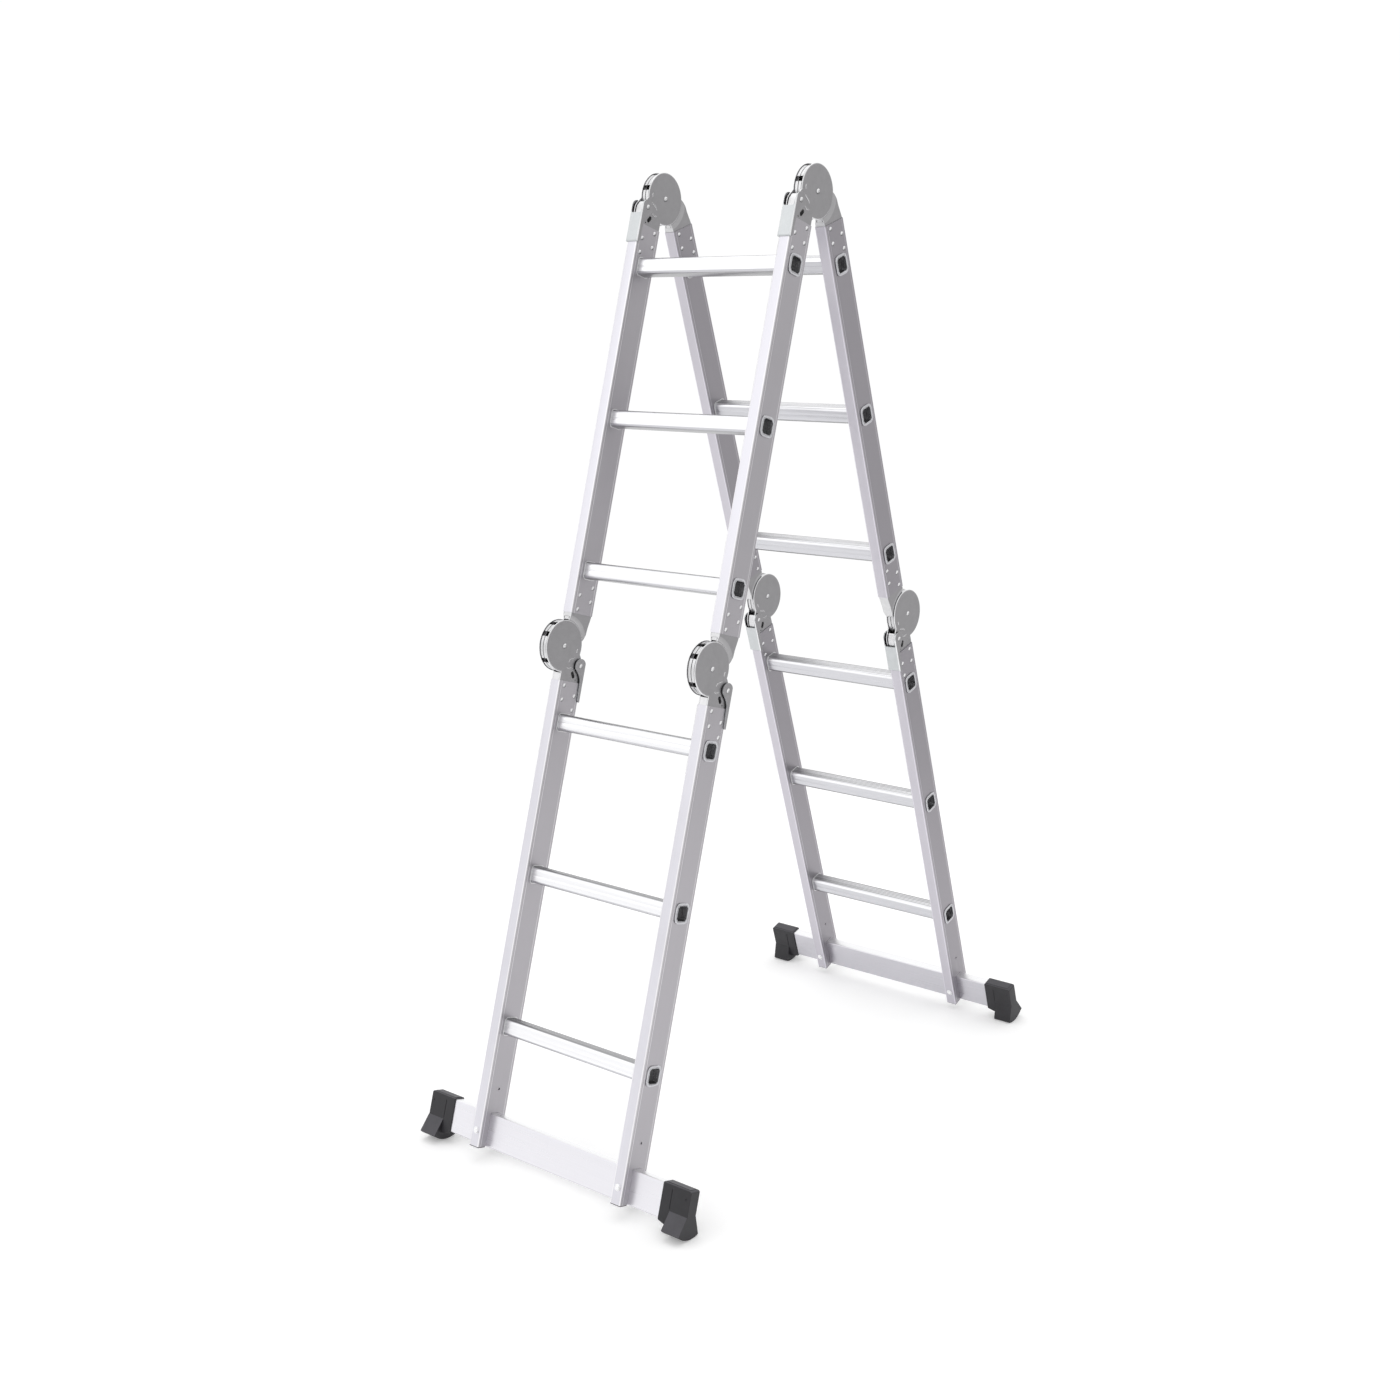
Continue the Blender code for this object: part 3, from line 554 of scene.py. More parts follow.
PIVOT_HEAD = 4.7 * MM
LOCK_ANGLE = math.radians(-54.7)
LOCK_POSITIONS = (0, 35, 82, 145.4, 178.4)  # the notches, in degrees from the first
NOTCH_HALF = 4.8 * MM
LOCK_START = 45.2 * MM
LOCK_LENGTH = 20 * MM
LOCK_HALF = 4.5 * MM
LOCK_PIN_AT = 57 * MM
LOCK_PIN_RADIUS = 3.4 * MM
LOCK_TRAVEL = 6 * MM
LOCK_PLAY = 0.6 * MM
VENT = (43.5 * MM, -57.5 * MM)
VENT_RADIUS = 1.3 * MM
LEVER_PIVOT = (48 * MM, -31 * MM)
LEVER_PIN_RADIUS = 2.6 * MM
LEVER_HALF = 14.3 * MM
LEVER_SHEET = 2.2 * MM
LEVER_END = -97 * MM
LEVER_BEYOND = 10 * MM          # how far the lever's cutting solids run past it
RIVETS = ((15.5 * MM, 70 * MM), (15.5 * MM, 96 * MM), (46.5 * MM, 87 * MM), (46.5 * MM, 113 * MM))

# The marks pressed into a cover plate, as lines in Y and Z with their half widths
RIBS = (
    (((18.5 * MM, -27 * MM), (21 * MM, -23 * MM), (27 * MM, -20.5 * MM), (33.5 * MM, -17.5 * MM)), 1.5 * MM),
    (((16 * MM, -37.5 * MM), (22 * MM, -38.5 * MM), (29 * MM, -36 * MM)), 1.3 * MM),
    (((35.2 * MM, -7 * MM), (36.4 * MM, -1 * MM)), 1.6 * MM),
)


def cylinder(radius, low, high, along="X", centre=(0, 0, 0), segments=48):
    return turned([(low, 0), (low, radius), (high, radius), (high, 0)], segments, along, centre)


def radial_slot(start, end, half_width, half_x, angle):
    """A round-ended bar on a line out from the hinge's axis."""
    outline = arc((start + half_width, 0), half_width, 90, 270, 12)
    outline += arc((end - half_width, 0), half_width, -90, 90, 12)
    solid = prism([outline], -half_x, half_x, "X")
    solid.data.transform(Matrix.Rotation(angle, 4, "X"))
    return solid


def radial_block(start, end, half_width, half_x, angle):
    """A square bar on a line out from the hinge's axis."""
    solid = box((-half_x, start, -half_width), (half_x, end, half_width))
    solid.data.transform(Matrix.Rotation(angle, 4, "X"))
    return solid


def cover_plate(side):
    """One cover plate: a disc with a rolled edge, run into the flat arm that carries the lever."""
    profile = [(side * COVER_IN, PIVOT_HOLE), (side * COVER_IN, DISC_RADIUS - EASE)]
    profile.append((side * (COVER_IN + EASE), DISC_RADIUS))
    for i in range(1, ROLL_STEPS + 1):
        a = math.pi / 2 * i / ROLL_STEPS
        radius = FACE_RADIUS + (DISC_RADIUS - FACE_RADIUS) * math.cos(a)
        profile.append((side * (COVER_IN + EASE + (PLATE - EASE) * math.sin(a)), radius))
    profile.append((side * COVER_OUT, PIVOT_HOLE))
    disc = turned(profile, DISC_SEGMENTS)
    pivot_up = LEVER_PIVOT[1]
    outline = [
        (NEAR, -40 * MM),
        (NEAR, -ARM_END + NECK / 2),
        (NEAR + NECK, -ARM_END),
        (FAR - NECK, -ARM_END),
        (FAR, -ARM_END + NECK / 2),
        (FAR, pivot_up),
        (FAR - 1.2 * MM, pivot_up + 4.5 * MM),
        (FAR - 4.5 * MM, pivot_up + 9 * MM),
        (46 * MM, -11.5 * MM),
        (41.5 * MM, -8 * MM),
        (24 * MM, -24 * MM),
    ]
    low, high = sorted((side * COVER_IN, side * COVER_OUT))
    arm = rounded(prism([outline], low, high, "X"), 0.5 * MM)
    plate = combine(disc, [arm], "UNION")
    slot_start = LOCK_PIN_AT - LOCK_PIN_RADIUS - LOCK_PLAY
    slot_end = LOCK_PIN_AT + LOCK_PIN_RADIUS + LOCK_TRAVEL + LOCK_PLAY
    slot = radial_slot(slot_start, slot_end, LOCK_PIN_RADIUS + 0.2 * MM, STILE_WIDTH, LOCK_ANGLE)
    vent = cylinder(VENT_RADIUS, -STILE_WIDTH, STILE_WIDTH, "X", (0, *VENT), 20)
    return combine(plate, [slot, vent], "DIFFERENCE")


def lock_housing():
    """The light block between the plates that the lock bolt runs in, as seen under the drum."""
    half = 6.6 * MM
    outline = [
        (45.5 * MM, -22 * MM),
        (50 * MM, -20 * MM),
        (56 * MM, -30 * MM),
        (57 * MM, -46 * MM),
        (49 * MM, -50 * MM),
        (45.5 * MM, -44 * MM),
    ]
    return rounded(prism([outline], -half, half, "X"), 0.7 * MM)


def cover_bracket():
    """Two cover plates with their ribs, and the block, near web, housing and lever's pin between them."""
    solids = []
    for side in (-1, 1):
        solids.append(cover_plate(side))
        solids.append(pressed_ribs(side))
    inner = COVER_IN - SKIM
    solids.append(box((-inner, NEAR + NECK, -ARM_END + NECK), (inner, FAR - NECK, -STILE_START - NECK)))
    web = box((-inner, NEAR, -STILE_START - WEB_OVERLAP), (inner, NEAR + PLATE, -DISC_RADIUS - 1 * MM))
    solids.append(rounded(web, 0.5 * MM))
    solids.append(lock_housing())
    pin_end = LEVER_HALF + 1 * MM
    solids.append(cylinder(LEVER_PIN_RADIUS, -pin_end, pin_end, "X", (0, *LEVER_PIVOT), 24))
    return joined(solids)


def pressed_rib(bm, side, points, size):
    """A half-round rib along a line on a cover plate, thinning out at both ends."""
    steps = 10
    line = []
    for (u0, v0), (u1, v1) in zip(points, points[1:]):
        for i in range(steps):
            t = i / steps
            line.append((u0 + (u1 - u0) * t, v0 + (v1 - v0) * t))
    line.append(points[-1])
    for i, (u, v) in enumerate(line):
        radius = size * math.sin(math.pi * (i + 1) / (len(line) + 1)) ** 0.4
        bmesh.ops.create_uvsphere(
            bm, u_segments=12, v_segments=8, radius=radius,
            matrix=Matrix.Translation((side * COVER_OUT, u, v)) @ Matrix.Diagonal((0.55, 1, 1, 1)))


def pressed_ribs(side):
    """The rib over the lock and its short lower partner, and a dimple above the lever."""
    bm = bmesh.new()
    for points, size in RIBS:
        pressed_rib(bm, side, points, size)
    return written(bm, "ribs")


def index_arm_outline():
    """The index arm above the drum, in Y and Z, with its back bowed in towards the disc."""
    return [
        (NEAR, 0),
        (33 * MM, 2 * MM),
        (41 * MM, 8 * MM),
        (45.5 * MM, 13 * MM),
        (49 * MM, 19 * MM),
        (51.3 * MM, 28 * MM),
        (52.5 * MM, 39 * MM),
        (FAR - 1 * MM, STILE_START - 4 * MM),
        (FAR, STILE_START + 4 * MM),
        (FAR, ARM_END - NECK / 2),
        (FAR - NECK, ARM_END),
        (NEAR + NECK, ARM_END),
        (NEAR, ARM_END - NECK / 2),
    ]


def stepped_plate(side):
    """A plate turned about the axis, stepping from the index plate's level out to the cover plate's."""
    skim = 0.1 * MM
    beyond = 2 * ARM_END
    profile = [
        (INDEX_IN + PLATE / 2, INDEX_RADIUS - 4 * MM),
        (INDEX_OUT - skim, INDEX_RADIUS - 1 * MM),
        (INDEX_OUT - skim, JOGGLE_START - 0.6 * MM),
        (INDEX_OUT, JOGGLE_START + 0.8 * MM),
        (COVER_OUT - 0.5 * MM, JOGGLE_END - 1.6 * MM),
        (COVER_OUT, JOGGLE_END),
        (COVER_OUT, beyond),
        (COVER_IN, beyond),
        (COVER_IN, JOGGLE_END + 1 * MM),
        (INDEX_IN + skim, JOGGLE_START + 1 * MM),
        (INDEX_IN + skim, INDEX_RADIUS - 1 * MM),
    ]
    return turned([(side * x, radius) for x, radius in profile], DISC_SEGMENTS)


def index_disc(side):
    """One index plate's disc, with its rim turned in towards the other plate."""
    edge = 0.5 * MM
    profile = [
        (INDEX_IN, PIVOT_HOLE),
        (INDEX_OUT, PIVOT_HOLE),
        (INDEX_OUT, INDEX_RADIUS - 1.6 * MM),
        (INDEX_OUT - 1.3 * MM, INDEX_RADIUS - 1.2 * MM),
        (INDEX_OUT - 1.4 * MM, INDEX_RADIUS - edge * 0.4),
        (INDEX_OUT - 1.7 * MM, INDEX_RADIUS),
        (RIM_SPLIT + edge, INDEX_RADIUS),
        (RIM_SPLIT + edge * 0.3, INDEX_RADIUS - edge * 0.3),
        (RIM_SPLIT, INDEX_RADIUS - edge),
        (RIM_SPLIT, INDEX_RADIUS - RIM_DEPTH),
        (INDEX_IN, INDEX_RADIUS - RIM_DEPTH),
    ]
    return turned([(side * x, radius) for x, radius in profile], DISC_SEGMENTS)


def index_bracket():
    """Two rimmed, notched plates that step out, round the cover discs, to lie level with them on the arm."""
    solids = []
    for side in (-1, 1):
        zone = prism([index_arm_outline()], -STILE_WIDTH, STILE_WIDTH, "X")
        arm = combine(stepped_plate(side), [zone], "INTERSECT")
        plate = combine(index_disc(side), [arm], "UNION")
        notches = []
        for position in LOCK_POSITIONS:
            angle = LOCK_ANGLE - math.radians(position)
            floor, top = INDEX_RADIUS - 6 * MM, INDEX_RADIUS + 1.5 * MM
            notches.append(radial_block(floor, top, NOTCH_HALF, STILE_WIDTH, angle))
        solids.append(combine(plate, notches, "DIFFERENCE"))
    hub = [(-INDEX_IN, PIVOT_HOLE), (-INDEX_IN, HUB_RADIUS), (INDEX_IN, HUB_RADIUS), (INDEX_IN, PIVOT_HOLE)]
    solids.append(turned(hub, 32))
    inner = COVER_IN - SKIM
    solids.append(box((-inner, NEAR + NECK, STILE_START + NECK), (inner, FAR - NECK, ARM_END - NECK)))
    step = (JOGGLE_START + JOGGLE_END) / 2
    low_web = box((-INDEX_IN, NEAR, JOGGLE_START + 0.8 * MM), (INDEX_IN, NEAR + PLATE, step + 3 * MM))
    solids.append(rounded(low_web, 0.4 * MM))
    high_web = box((-inner, NEAR, step + 1.5 * MM), (inner, NEAR + PLATE, STILE_START + WEB_OVERLAP))
    solids.append(rounded(high_web, 0.4 * MM))
    solids.append(far_web())
    return joined(solids)


def far_web():
    """The index bracket's back: a strip between its plates, down the arm's outer edge to the drum."""
    thick = 1.8 * MM
    half = COVER_IN + PLATE * 0.8
    outer = [
        (FAR, STILE_START + 5 * MM),
        (FAR - 1 * MM, STILE_START - 4 * MM),
        (52.5 * MM, 39 * MM),
        (51.3 * MM, 28 * MM),
        (49.2 * MM, 19.5 * MM),
        (46.6 * MM, 14.5 * MM),
    ]
    inner = [(u - thick, v) for u, v in reversed(outer)]
    strip = prism([outer + inner], -half, half, "X")
    level = COVER_OUT - 0.4 * MM
    between_plates = turned([
        (-INDEX_OUT, 0),
        (-INDEX_OUT, JOGGLE_START),
        (-level, JOGGLE_END),
        (level, JOGGLE_END),
        (INDEX_OUT, JOGGLE_START),
        (INDEX_OUT, 0),
    ], DISC_SEGMENTS)
    beyond = cylinder(JOGGLE_END + 40 * MM, -COVER_IN, COVER_IN, segments=DISC_SEGMENTS)
    allowed = combine(between_plates, [beyond], "UNION")
    return combine(strip, [allowed], "INTERSECT")


def domed(radius, face, height, side, centre, segments=32, along="X", dimple=0.0):
    """A rivet or bolt head standing on a face, with a rounded crown."""
    profile = [(side * face, 0), (side * face, radius)]
    steps = 8
    rim = height * 0.25
    for i in range(steps + 1):
        a = math.pi / 2 * i / steps
        profile.append((side * (face + rim + (height - rim) * math.sin(a)), radius * math.cos(a)))
    if dimple:
        profile[-1] = (side * (face + height - dimple), 0)
        profile[-2] = (side * (face + height - dimple * 0.2), radius * 0.2)
    return turned(profile, segments, along, centre)


def pivot_rivet():
    """The hinge's axle with a small low head on each side and a swaged dimple in its middle."""
    end = COVER_OUT + 0.5 * MM
    solids = [cylinder(PIVOT_SHANK, -end, end, segments=32)]
    for side in (-1, 1):
        solids.append(domed(PIVOT_HEAD, COVER_OUT + 0.1 * MM, 1.9 * MM, side, (0, 0, 0), 40, dimple=0.5 * MM))
    return joined(solids)


def lock_bolt():
    """The sliding bolt, with the cross pin that shows in the cover plates' slots."""
    bar = radial_block(LOCK_START, LOCK_START + LOCK_LENGTH, LOCK_HALF, COVER_IN - 0.4 * MM, LOCK_ANGLE)
    bar = rounded(bar, 0.8 * MM, 3)
    centre = (0, LOCK_PIN_AT * math.cos(LOCK_ANGLE), LOCK_PIN_AT * math.sin(LOCK_ANGLE))
    end = COVER_OUT - 1.4 * MM
    pin = rounded(cylinder(LOCK_PIN_RADIUS, -end, end, "X", centre, 32), 0.5 * MM)
    return joined([bar, pin])


def release_lever():
    """A folded lever: one skin bent round the stile, rounded at its folds, with a curved mouth."""
    inner = HINGE_OFFSET + STILE_DEPTH / 2 + 0.5 * MM
    back = inner + LEVER_SHEET
    pu, pv = LEVER_PIVOT
    outline = arc(LEVER_PIVOT, 13.7 * MM, 0, 180, 28)
    outline += arc((pu - 5.5 * MM, pv - 1 * MM), 8.2 * MM, 186, 232, 6)
    outline += [
        (pu - 2 * MM, pv - 15 * MM),
        (pu + 1.5 * MM, pv - 19.5 * MM),
        (pu + 4.2 * MM, pv - 25 * MM),
        (pu + 5.2 * MM, pv - 31 * MM),
        (pu + 7 * MM, LEVER_END + 3 * MM),
        (pu + 9 * MM, LEVER_END),
        (back - 2 * MM, LEVER_END),
        (back, LEVER_END + 2 * MM),
    ]
    half = LEVER_HALF
    # The outer folds are rounded before the inside is hollowed out
    solid = combine(prism([outline], -half, half, "X"), [rounded_section(half, back)], "INTERSECT")
    room = half - LEVER_SHEET
    inside = prism([inside_section(room, inner)], LEVER_END - LEVER_BEYOND, 0, "Z")
    mouth = prism([mouth_outline(room)], inner - LEVER_BEYOND, back + LEVER_BEYOND, "Y")
    hole = cylinder(LEVER_PIN_RADIUS + 0.5 * MM, -half - 1 * MM, half + 1 * MM, "X", (0, pu, pv), 24)
    solid = combine(solid, [inside, mouth, hole], "DIFFERENCE")
    return rounded(solid, 0.35 * MM, 2, 40)


def lever_gap_shade():
    """Dark strips inside the lever's cheeks, between them and the cover plates: painted shade in the gap
    there.
    """
    pu, pv = LEVER_PIVOT
    width = 4 * MM
    edge = [
        (pu - 13.2 * MM, pv + 2 * MM),
        (pu - 12.6 * MM, pv - 5 * MM),
        (pu - 8.4 * MM, pv - 10.6 * MM),
        (pu - 1.4 * MM, pv - 15.2 * MM),
        (pu + 2.1 * MM, pv - 19.8 * MM),
        (pu + 4.8 * MM, pv - 25.2 * MM),
        (pu + 5.7 * MM, pv - 31 * MM),
    ]
    outline = edge + [(u + width, v) for u, v in reversed(edge)]
    inner, outer = COVER_OUT + 0.25 * MM, LEVER_HALF - LEVER_SHEET - 0.05 * MM
    strips = []
    for side in (-1, 1):
        low, high = sorted((side * inner, side * outer))
        strips.append(prism([outline], low, high, "X"))
    return joined(strips)


def rounded_section(half, back):
    """A bar with the lever's outer cross-section, in X and Y, and its rounded folds, run along Z."""
    fold = 3 * MM
    points = [(-half, 0), (half, 0)]
    points += arc((half - fold, back - fold), fold, 0, 90, 6)
    points += arc((-half + fold, back - fold), fold, 90, 180, 6)
    return prism([points], LEVER_END - LEVER_BEYOND, LEVER_BEYOND, "Z")


def inside_section(room, inner):
    """The lever's inner cross-section, in X and Y, open towards the hinge."""
    fold = 1.2 * MM
    points = [(-room, -LEVER_BEYOND), (room, -LEVER_BEYOND)]
    points += arc((room - fold, inner - fold), fold, 0, 90, 4)
    points += arc((-room + fold, inner - fold), fold, 90, 180, 4)
    return points


def mouth_outline(room):
    """The opening above the web, in X and Z, with a rounded lower edge."""
    low = -40 * MM
    sag = 4 * MM
    return [
        (room, 0),
        (-room, 0),
        (-room, low),
        (-room + sag * 0.3, low - sag * 0.7),
        (-room + sag, low - sag),
        (room - sag, low - sag),
        (room - sag * 0.3, low - sag * 0.7),
        (room, low),
    ]


def bracket_rivets(direction):
    """The four rivets through one arm, as heads on both of its faces; direction is up (1) or down (-1)."""
    heads = []
    for u, v in RIVETS:
        for side in (-1, 1):
            heads.append(domed(3.9 * MM, STILE_HALF - 0.1 * MM, 1.7 * MM, side, (0, u, direction * v), 24))
    return joined(heads)


def lever_pin_caps():
    caps = []
    for side in (-1, 1):
        caps.append(domed(4.4 * MM, LEVER_HALF + 0.15 * MM, 1.3 * MM, side, (0, *LEVER_PIVOT), 24))
    return joined(caps)


def hinge_places(side, sign):
    """Each hinge on one side: where its cover and index brackets stand, and the bodies they ride on."""
    places = {}
    for leg, matrix in LEGS.items():
        x = sign * STILE_X * (1 if leg == "front" else -1)
        mid = matrix @ Matrix.Translation((x, -2 * HINGE_OFFSET, -MID_HINGE_DOWN))
        places[f"{leg}_mid_hinge_{side}"] = (mid, mid, f"{leg}_lower", f"{leg}_upper")
    cover_at = LEGS["front"] @ Matrix.Translation((sign * STILE_X, 0, 0)) @ HALF_TURN
    index_at = LEGS["rear"] @ Matrix.Translation((-sign * STILE_X, 0, 0)) @ FLIP
    places[f"top_hinge_{side}"] = (cover_at, index_at, "front_upper", "rear_upper")
    return places


def build_hinges():
    meshes = {
        "cover_bracket": taken_mesh(cover_bracket(), LOOKS["hinge"]),
        "index_bracket": taken_mesh(index_bracket(), LOOKS["index"]),
        "rivet": taken_mesh(pivot_rivet(), LOOKS["fastener"]),
        "lock_bolt": taken_mesh(lock_bolt(), LOOKS["lock"]),
        "lever": taken_mesh(release_lever(), LOOKS["lever"]),
        "arm_rivets_up": taken_mesh(bracket_rivets(1), LOOKS["fastener"]),
        "arm_rivets_down": taken_mesh(bracket_rivets(-1), LOOKS["fastener"]),
        "lever_pin": taken_mesh(lever_pin_caps(), LOOKS["fastener"]),
        # Dark strips in the lever's gap, painted shade
        "lever_gap_shade": taken_mesh(lever_gap_shade(), LOOKS["plug"]),
    }
    for side, sign in SIDES.items():
        for hinge, (cover_at, index_at, cover_body, index_body) in hinge_places(side, sign).items():
            parts = (
                ("cover_bracket", cover_at, cover_body, "hinge_plate"),
                ("index_bracket", index_at, index_body, "hinge_plate"),
                ("rivet", cover_at, cover_body, "fastener"),
                ("lock_bolt", cover_at, f"{hinge}_lock_bolt", "fastener"),
                ("lever", cover_at, f"{hinge}_lever", "lever"),
            )
            for part, at, body, slot in parts:
                add_piece(f"{hinge}_{part}_fine", meshes[part], at, body, [f"{hinge}_{part}"])
            add_piece(f"{hinge}_cover_rivets", meshes["arm_rivets_down"], cover_at, cover_body)
            add_piece(f"{hinge}_index_rivets", meshes["arm_rivets_up"], index_at, index_body)
            add_piece(f"{hinge}_lever_pin_caps", meshes["lever_pin"], cover_at, cover_body)
            # The dark strips in the lever's gap are painted shade
            add_piece(f"{hinge}_lever_gap_shade", meshes["lever_gap_shade"], cover_at, f"{hinge}_lever")


# ---------------------------------------------------------------- rungs and stile ends

RUNG_END = STILE_X + STILE_HALF
COLLAR_HALF = 17.2 * MM
COLLAR_THICK = 1.4 * MM
# Dark plugs in the rung ends: painted shade for the inside of the open tubes
RUNG_SHADE_PLUG_HALF = 12.8 * MM
RUNG_SHADE_PLUG_SUNK = 8 * MM          # the shade plug's face, in from the rung's end
RUNG_SHADE_PLUG_THICK = 6 * MM
RUNG_SHADE_PLUG_RIBS = (-6 * MM, 0, 6 * MM)
PLUG_START = 10.6 * MM          # clear of the bar, on each side of the stile's middle plane
PLUG_DEPTH = 9 * MM
PLUG_INSET = 1.5 * MM           # a plug's sides, in from the stile's faces


def rung_collars():
    """The swaged rings round a rung, against the stiles' inner faces."""
    solids = []
    inner_face = STILE_X - STILE_HALF
    outer = rounded_rectangle(COLLAR_HALF, COLLAR_HALF, 8 * MM, 6)
    bore = RUNG_HALF + 0.05 * MM
    hole = rounded_rectangle(bore, bore, RUNG_CORNER, 6)
    for side in (-1, 1):
        low, high = sorted((side * (inner_face - COLLAR_THICK), side * (inner_face - SKIM)))
        solids.append(rounded(prism([outer, hole], low, high, "X"), 0.6 * MM, 3))
    return joined(solids)


def rung_shade_plugs():
    """Dark ribbed plugs a little way into a rung's two ends, painted shade for the inside of the open tubes.
    """
    solids = []
    outline = rounded_rectangle(RUNG_SHADE_PLUG_HALF, RUNG_SHADE_PLUG_HALF, 3.8 * MM, 4)
    face = RUNG_END - RUNG_SHADE_PLUG_SUNK
    for side in (-1, 1):
        low, high = sorted((side * (face - RUNG_SHADE_PLUG_THICK), side * face))
        solids.append(rounded(prism([outline], low, high, "X"), 0.8 * MM, 3))
        low, high = sorted((side * (face - 1 * MM), side * (face + 1.5 * MM)))
        for up in RUNG_SHADE_PLUG_RIBS:
            rib = box((low, -9 * MM, up - 0.8 * MM), (high, 9 * MM, up + 0.8 * MM))
            solids.append(rounded(rib, 0.3 * MM))
    return joined(solids)


def end_plugs():
    """Two plastic plugs that close a lower stile's end in front of and behind the bar."""
    solids = []
    half = STILE_HALF - PLUG_INSET
    lip_half = STILE_HALF - 0.6 * MM
    for side in (-1, 1):
        low, high = sorted((side * PLUG_START, side * (STILE_DEPTH / 2 - PLUG_INSET)))
        block = box((-half, low, -1.2 * MM), (half, high, PLUG_DEPTH))
        low, high = sorted((side * PLUG_START, side * (STILE_DEPTH / 2 - 0.6 * MM)))
        lip = box((-lip_half, low, -1.6 * MM), (lip_half, high, -0.1 * MM))
        solids += [rounded(block, 0.3 * MM), rounded(lip, 0.4 * MM, 3)]
    return joined(solids)


def build_ends():
    collars = taken_mesh(rung_collars(), LOOKS["collar"])
    plugs = taken_mesh(end_plugs(), LOOKS["plug"])
    # Dark plugs in the rung ends, painted shade for the inside of the open tubes
    caps = taken_mesh(rung_shade_plugs(), LOOKS["rung_shade_plug"])
    for leg, matrix in LEGS.items():
        for level, start in (("upper", 0), ("lower", -MID_HINGE_DOWN)):
            for i in range(RUNGS_PER_SECTION):
                at = matrix @ Matrix.Translation((0, -HINGE_OFFSET, start - HINGE_TO_RUNG - i * RUNG_PITCH))
                add_piece(f"{leg}_{level}_rung_{i + 1}_collars", collars, at, f"{leg}_{level}")
                # The dark rung-end plugs are painted shade
                add_piece(f"{leg}_{level}_rung_{i + 1}_caps", caps, at, f"{leg}_{level}")
        for side, sign in SIDES.items():
            x = sign * STILE_X * (1 if leg == "front" else -1)
            at = matrix @ Matrix.Translation((x, -HINGE_OFFSET, LEG_END))
            add_piece(f"{leg}_{side}_end_plugs", plugs, at, f"{leg}_lower")


# ---------------------------------------------------------------- feet and bolts

CAP_START = 250 * MM
CAP_HALF = 12 * MM
CAP_TOP = 63 * MM
CAP_BOTTOM = -8 * MM
CAP_VENT = (302 * MM, 47 * MM)
BAR_END = 306 * MM
BAR_THICK = 19.8 * MM
BAR_HEIGHT = 61 * MM
SHOE_START = 272 * MM
SHOE_TOP = 19 * MM
SHOE_HALF = 27 * MM
ROCKER_RADIUS = 50 * MM
ROCKER_UP = 29.5 * MM
TOOTH_PITCH = LEAN / 3          # so that a tooth, not a valley, rests on the floor
TEETH_EACH_WAY = 5
TOOTH_DEPTH = 1.6 * MM
BOLT_UP = 29 * MM
BOLT_SHANK = 3 * MM


def sole_outline():
    """The shoe's end view, in Y and Z: splayed sides and a curved sole of flat-topped teeth."""
    centre = (0, ROCKER_UP)
    corner_up = ROCKER_UP - math.sqrt(ROCKER_RADIUS ** 2 - SHOE_HALF ** 2)
    points = [(CAP_HALF, SHOE_TOP), (-CAP_HALF, SHOE_TOP), (-SHOE_HALF, corner_up)]
    pitch = math.degrees(TOOTH_PITCH)
    for i in range(-TEETH_EACH_WAY, TEETH_EACH_WAY + 1):
        middle = i * pitch - 90
        points += arc(centre, ROCKER_RADIUS, middle - pitch * 0.33, middle + pitch * 0.33, 1)
        if i < TEETH_EACH_WAY:
            valley = middle + pitch / 2
            inner = ROCKER_RADIUS - TOOTH_DEPTH
            points += arc(centre, inner, valley - pitch * 0.09, valley + pitch * 0.09, 1)
    points += [(SHOE_HALF, corner_up)]
    return points


def foot():
    """The moulded cap with its seam and vent, and the splayed shoe with its toothed sole; the ridge on the
    cap's top is a piece of its own.
    """
    corner = 4 * MM
    cap = [
        (CAP_START, CAP_TOP - 1.5 * MM),
        (CAP_START, -1.5 * MM),
        (CAP_START + 1.5 * MM, -2.5 * MM),
        (CAP_START + 14 * MM, -6 * MM),
        (SHOE_START + 4 * MM, CAP_BOTTOM),
        (FOOT_END, CAP_BOTTOM),
    ]
    cap += arc((FOOT_END - corner, CAP_TOP - corner), corner, 0, 90, 4)
    cap += [(CAP_START + 1.5 * MM, CAP_TOP)]
    body = rounded(prism([cap], -CAP_HALF, CAP_HALF, "Y"), 1.3 * MM, 3, 60)
    shoe = rounded(prism([sole_outline()], SHOE_START, FOOT_END, "X"), 0.35 * MM, 2, 25)
    solid = combine(body, [shoe], "UNION")
    cavity = box(
        (CAP_START - 5 * MM, -BAR_THICK / 2 - EASE, -EASE),
        (BAR_END + EASE, BAR_THICK / 2 + EASE, BAR_HEIGHT + EASE))
    cuts = [cavity]
    vent_at, vent_up = CAP_VENT
    for side in (-1, 1):
        low, high = sorted((side * (CAP_HALF - 0.8 * MM), side * (CAP_HALF + 5 * MM)))
        seam_low = (SHOE_START - 1.6 * MM, low, SHOE_TOP + 2 * MM)
        cuts.append(box(seam_low, (SHOE_START - 0.2 * MM, high, 55 * MM)))
        cuts.append(cylinder(1.8 * MM, low, high, "Y", (vent_at, 0, vent_up), 20))
    return combine(solid, cuts, "DIFFERENCE")


def cap_ridge():
    """A raised band along the cap's top."""
    half = CAP_HALF - 3.5 * MM
    band = box(
        (CAP_START + 3 * MM, -half, CAP_TOP - 0.3 * MM),
        (FOOT_END - 5 * MM, half, CAP_TOP + 0.9 * MM))
    return rounded(band, 0.5 * MM, 3)


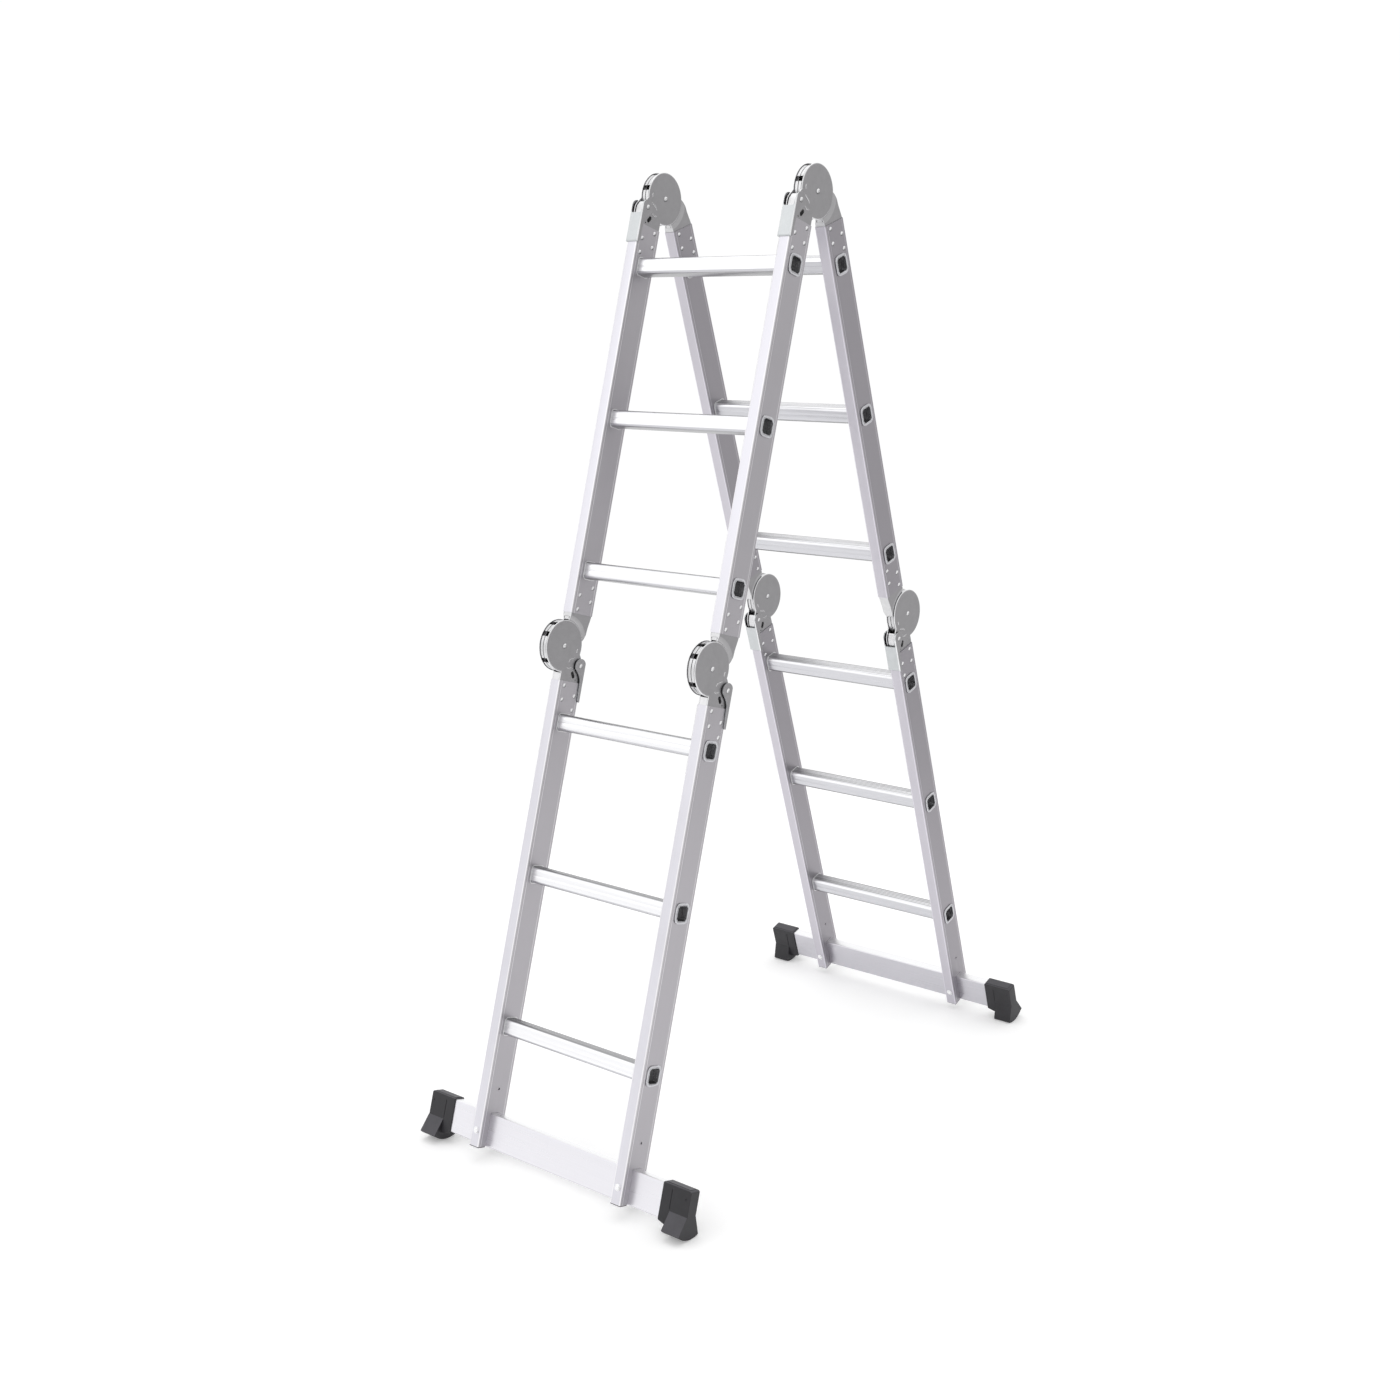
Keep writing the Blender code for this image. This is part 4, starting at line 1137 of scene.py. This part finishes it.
def stabilizer_bolt():
    """A dome-headed bolt on a washer at -Y, and its chamfered nut at +Y."""
    face = STILE_DEPTH / 2
    washer_hole = BOLT_SHANK + 0.2 * MM
    washer_edge = 6.2 * MM
    washer = [
        (-face - 0.05 * MM, washer_hole),
        (-face - 0.05 * MM, washer_edge),
        (-face - 0.8 * MM, washer_edge),
        (-face - 0.8 * MM, washer_hole),
    ]
    nut = prism([arc((0, 0), 5.5 * MM, 0, 300, 5)], face + 0.3 * MM, face + 5 * MM, "Y")
    return joined([
        turned(washer, 32, "Y"),
        domed(4.8 * MM, face + 0.7 * MM, 2.5 * MM, -1, (0, 0, 0), 32, "Y", dimple=0.6 * MM),
        rounded(cylinder(BOLT_SHANK, -face, face + 7 * MM, "Y", segments=24), 0.4 * MM),
        rounded(nut, 0.5 * MM),
    ])


def build_feet():
    foot_mesh = taken_mesh(foot(), LOOKS["plastic"], 30)
    ridge_mesh = taken_mesh(cap_ridge(), LOOKS["plastic"], 30)
    bolt_mesh = taken_mesh(stabilizer_bolt(), LOOKS["fastener"])
    for leg, matrix in LEGS.items():
        turn = 1 if leg == "front" else -1
        end = matrix @ Matrix.Translation((0, -HINGE_OFFSET, LEG_END))
        for side, sign in SIDES.items():
            foot_at = end if sign * turn > 0 else end @ HALF_TURN
            body = f"{leg}_lower"
            add_piece(f"{leg}_foot_{side}_fine", foot_mesh, foot_at, body, [f"{leg}_foot_{side}"])
            add_piece(f"{leg}_foot_{side}_ridge", ridge_mesh, foot_at, body)
            bolt_at = end @ Matrix.Translation((sign * turn * STILE_X, 0, BOLT_UP))
            if turn < 0:
                bolt_at = bolt_at @ HALF_TURN
            node = f"{leg}_stabilizer_bolt_{side}"
            add_piece(f"{node}_fine", bolt_mesh, bolt_at, body, [node])


# ---------------------------------------------------------------- studio and camera

CAMERA_PLACE = (1.95795, -2.54992, 1.54102)
CAMERA_YAW = 38.855
CAMERA_PITCH = 13.485
CAMERA_ROLL = -0.830
CAMERA_LENS = 44.69
FLOOR_RADIUS = 2.2
FLOOR_UP = -0.0005
FLOOR_GREYS = ((0.90, 0.90, 0.90), (0.92, 0.92, 0.92))
SKY_BRIGHT = 1.02
SKY_DIM = 0.86


def build_camera():
    """A camera that looks down a little from the front right, turned about the vertical by its yaw."""
    data = bpy.data.cameras.new("camera")
    data.sensor_width = 36
    data.lens = CAMERA_LENS
    camera = new_object("camera", data)
    yaw = math.radians(CAMERA_YAW)
    pitch = math.radians(CAMERA_PITCH)
    roll = math.radians(CAMERA_ROLL)
    forward = Vector((-math.sin(yaw) * math.cos(pitch), math.cos(yaw) * math.cos(pitch), -math.sin(pitch)))
    level = Vector((math.cos(yaw), math.sin(yaw), 0))
    up = level.cross(forward)
    right = math.cos(roll) * level + math.sin(roll) * up
    top = -math.sin(roll) * level + math.cos(roll) * up
    turn = Matrix((right, top, -forward)).transposed().to_4x4()
    camera.matrix_world = Matrix.Translation(CAMERA_PLACE) @ turn
    data.clip_start = 0.05
    data.clip_end = 100
    bpy.context.scene.camera = camera


def area_light(name, place, target, size, power):
    data = bpy.data.lights.new(name, "AREA")
    data.shape = "RECTANGLE"
    data.size, data.size_y = size
    data.energy = power
    light = new_object(name, data)
    light.location = place
    light.rotation_mode = "QUATERNION"
    light.rotation_quaternion = (Vector(target) - Vector(place)).to_track_quat("-Z", "Y")


def build_floor():
    """A pale round floor just under the feet."""
    bm = bmesh.new()
    bmesh.ops.create_circle(bm, cap_ends=True, segments=96, radius=FLOOR_RADIUS)
    floor = written(bm, "studio_floor")
    floor.location = (0, 0, FLOOR_UP)
    look = Look("studio_floor", FLOOR_GREYS[0], 0.9, 0.0)
    fine = look.noise((6, 6, 6), detail=3)
    look.colour_from(look.mixed(look.spread(fine, 0, 1), *FLOOR_GREYS))
    look.shader.inputs["Emission Color"].default_value = (1, 1, 1, 1)
    look.shader.inputs["Emission Strength"].default_value = 0.2
    look.shader.inputs["Specular IOR Level"].default_value = 0.1
    floor.data.materials.append(look.material)


def build_sky():
    """White to the left, falling to a pale grey on the right, so that side faces read darker than fronts."""
    world = bpy.data.worlds.new("studio")
    world.use_nodes = True
    bpy.context.scene.world = world
    nodes = world.node_tree.nodes
    links = world.node_tree.links
    background = nodes["Background"]
    coordinates = nodes.new("ShaderNodeTexCoord")
    split = nodes.new("ShaderNodeSeparateXYZ")
    links.new(coordinates.outputs["Generated"], split.inputs["Vector"])
    fall = nodes.new("ShaderNodeMapRange")
    fall.interpolation_type = "SMOOTHSTEP"
    fall.inputs["From Min"].default_value = -0.2
    fall.inputs["From Max"].default_value = 0.6
    fall.inputs["To Min"].default_value = SKY_BRIGHT
    fall.inputs["To Max"].default_value = SKY_DIM
    links.new(split.outputs["X"], fall.inputs["Value"])
    links.new(fall.outputs["Result"], background.inputs["Strength"])
    background.inputs["Color"].default_value = (1, 1, 1, 1)


def build_studio():
    build_floor()
    build_sky()
    area_light("key", (-2.2, -3.6, 3.4), (0, 0, 0.8), (3.0, 3.0), 12)
    area_light("top", (-0.4, 0.2, 4.2), (0, 0, 0), (3.0, 3.0), 14)
    bpy.context.scene.view_settings.view_transform = "Standard"


build_camera()
build_studio()
dress_extrusions()
build_hinges()
build_ends()
build_feet()
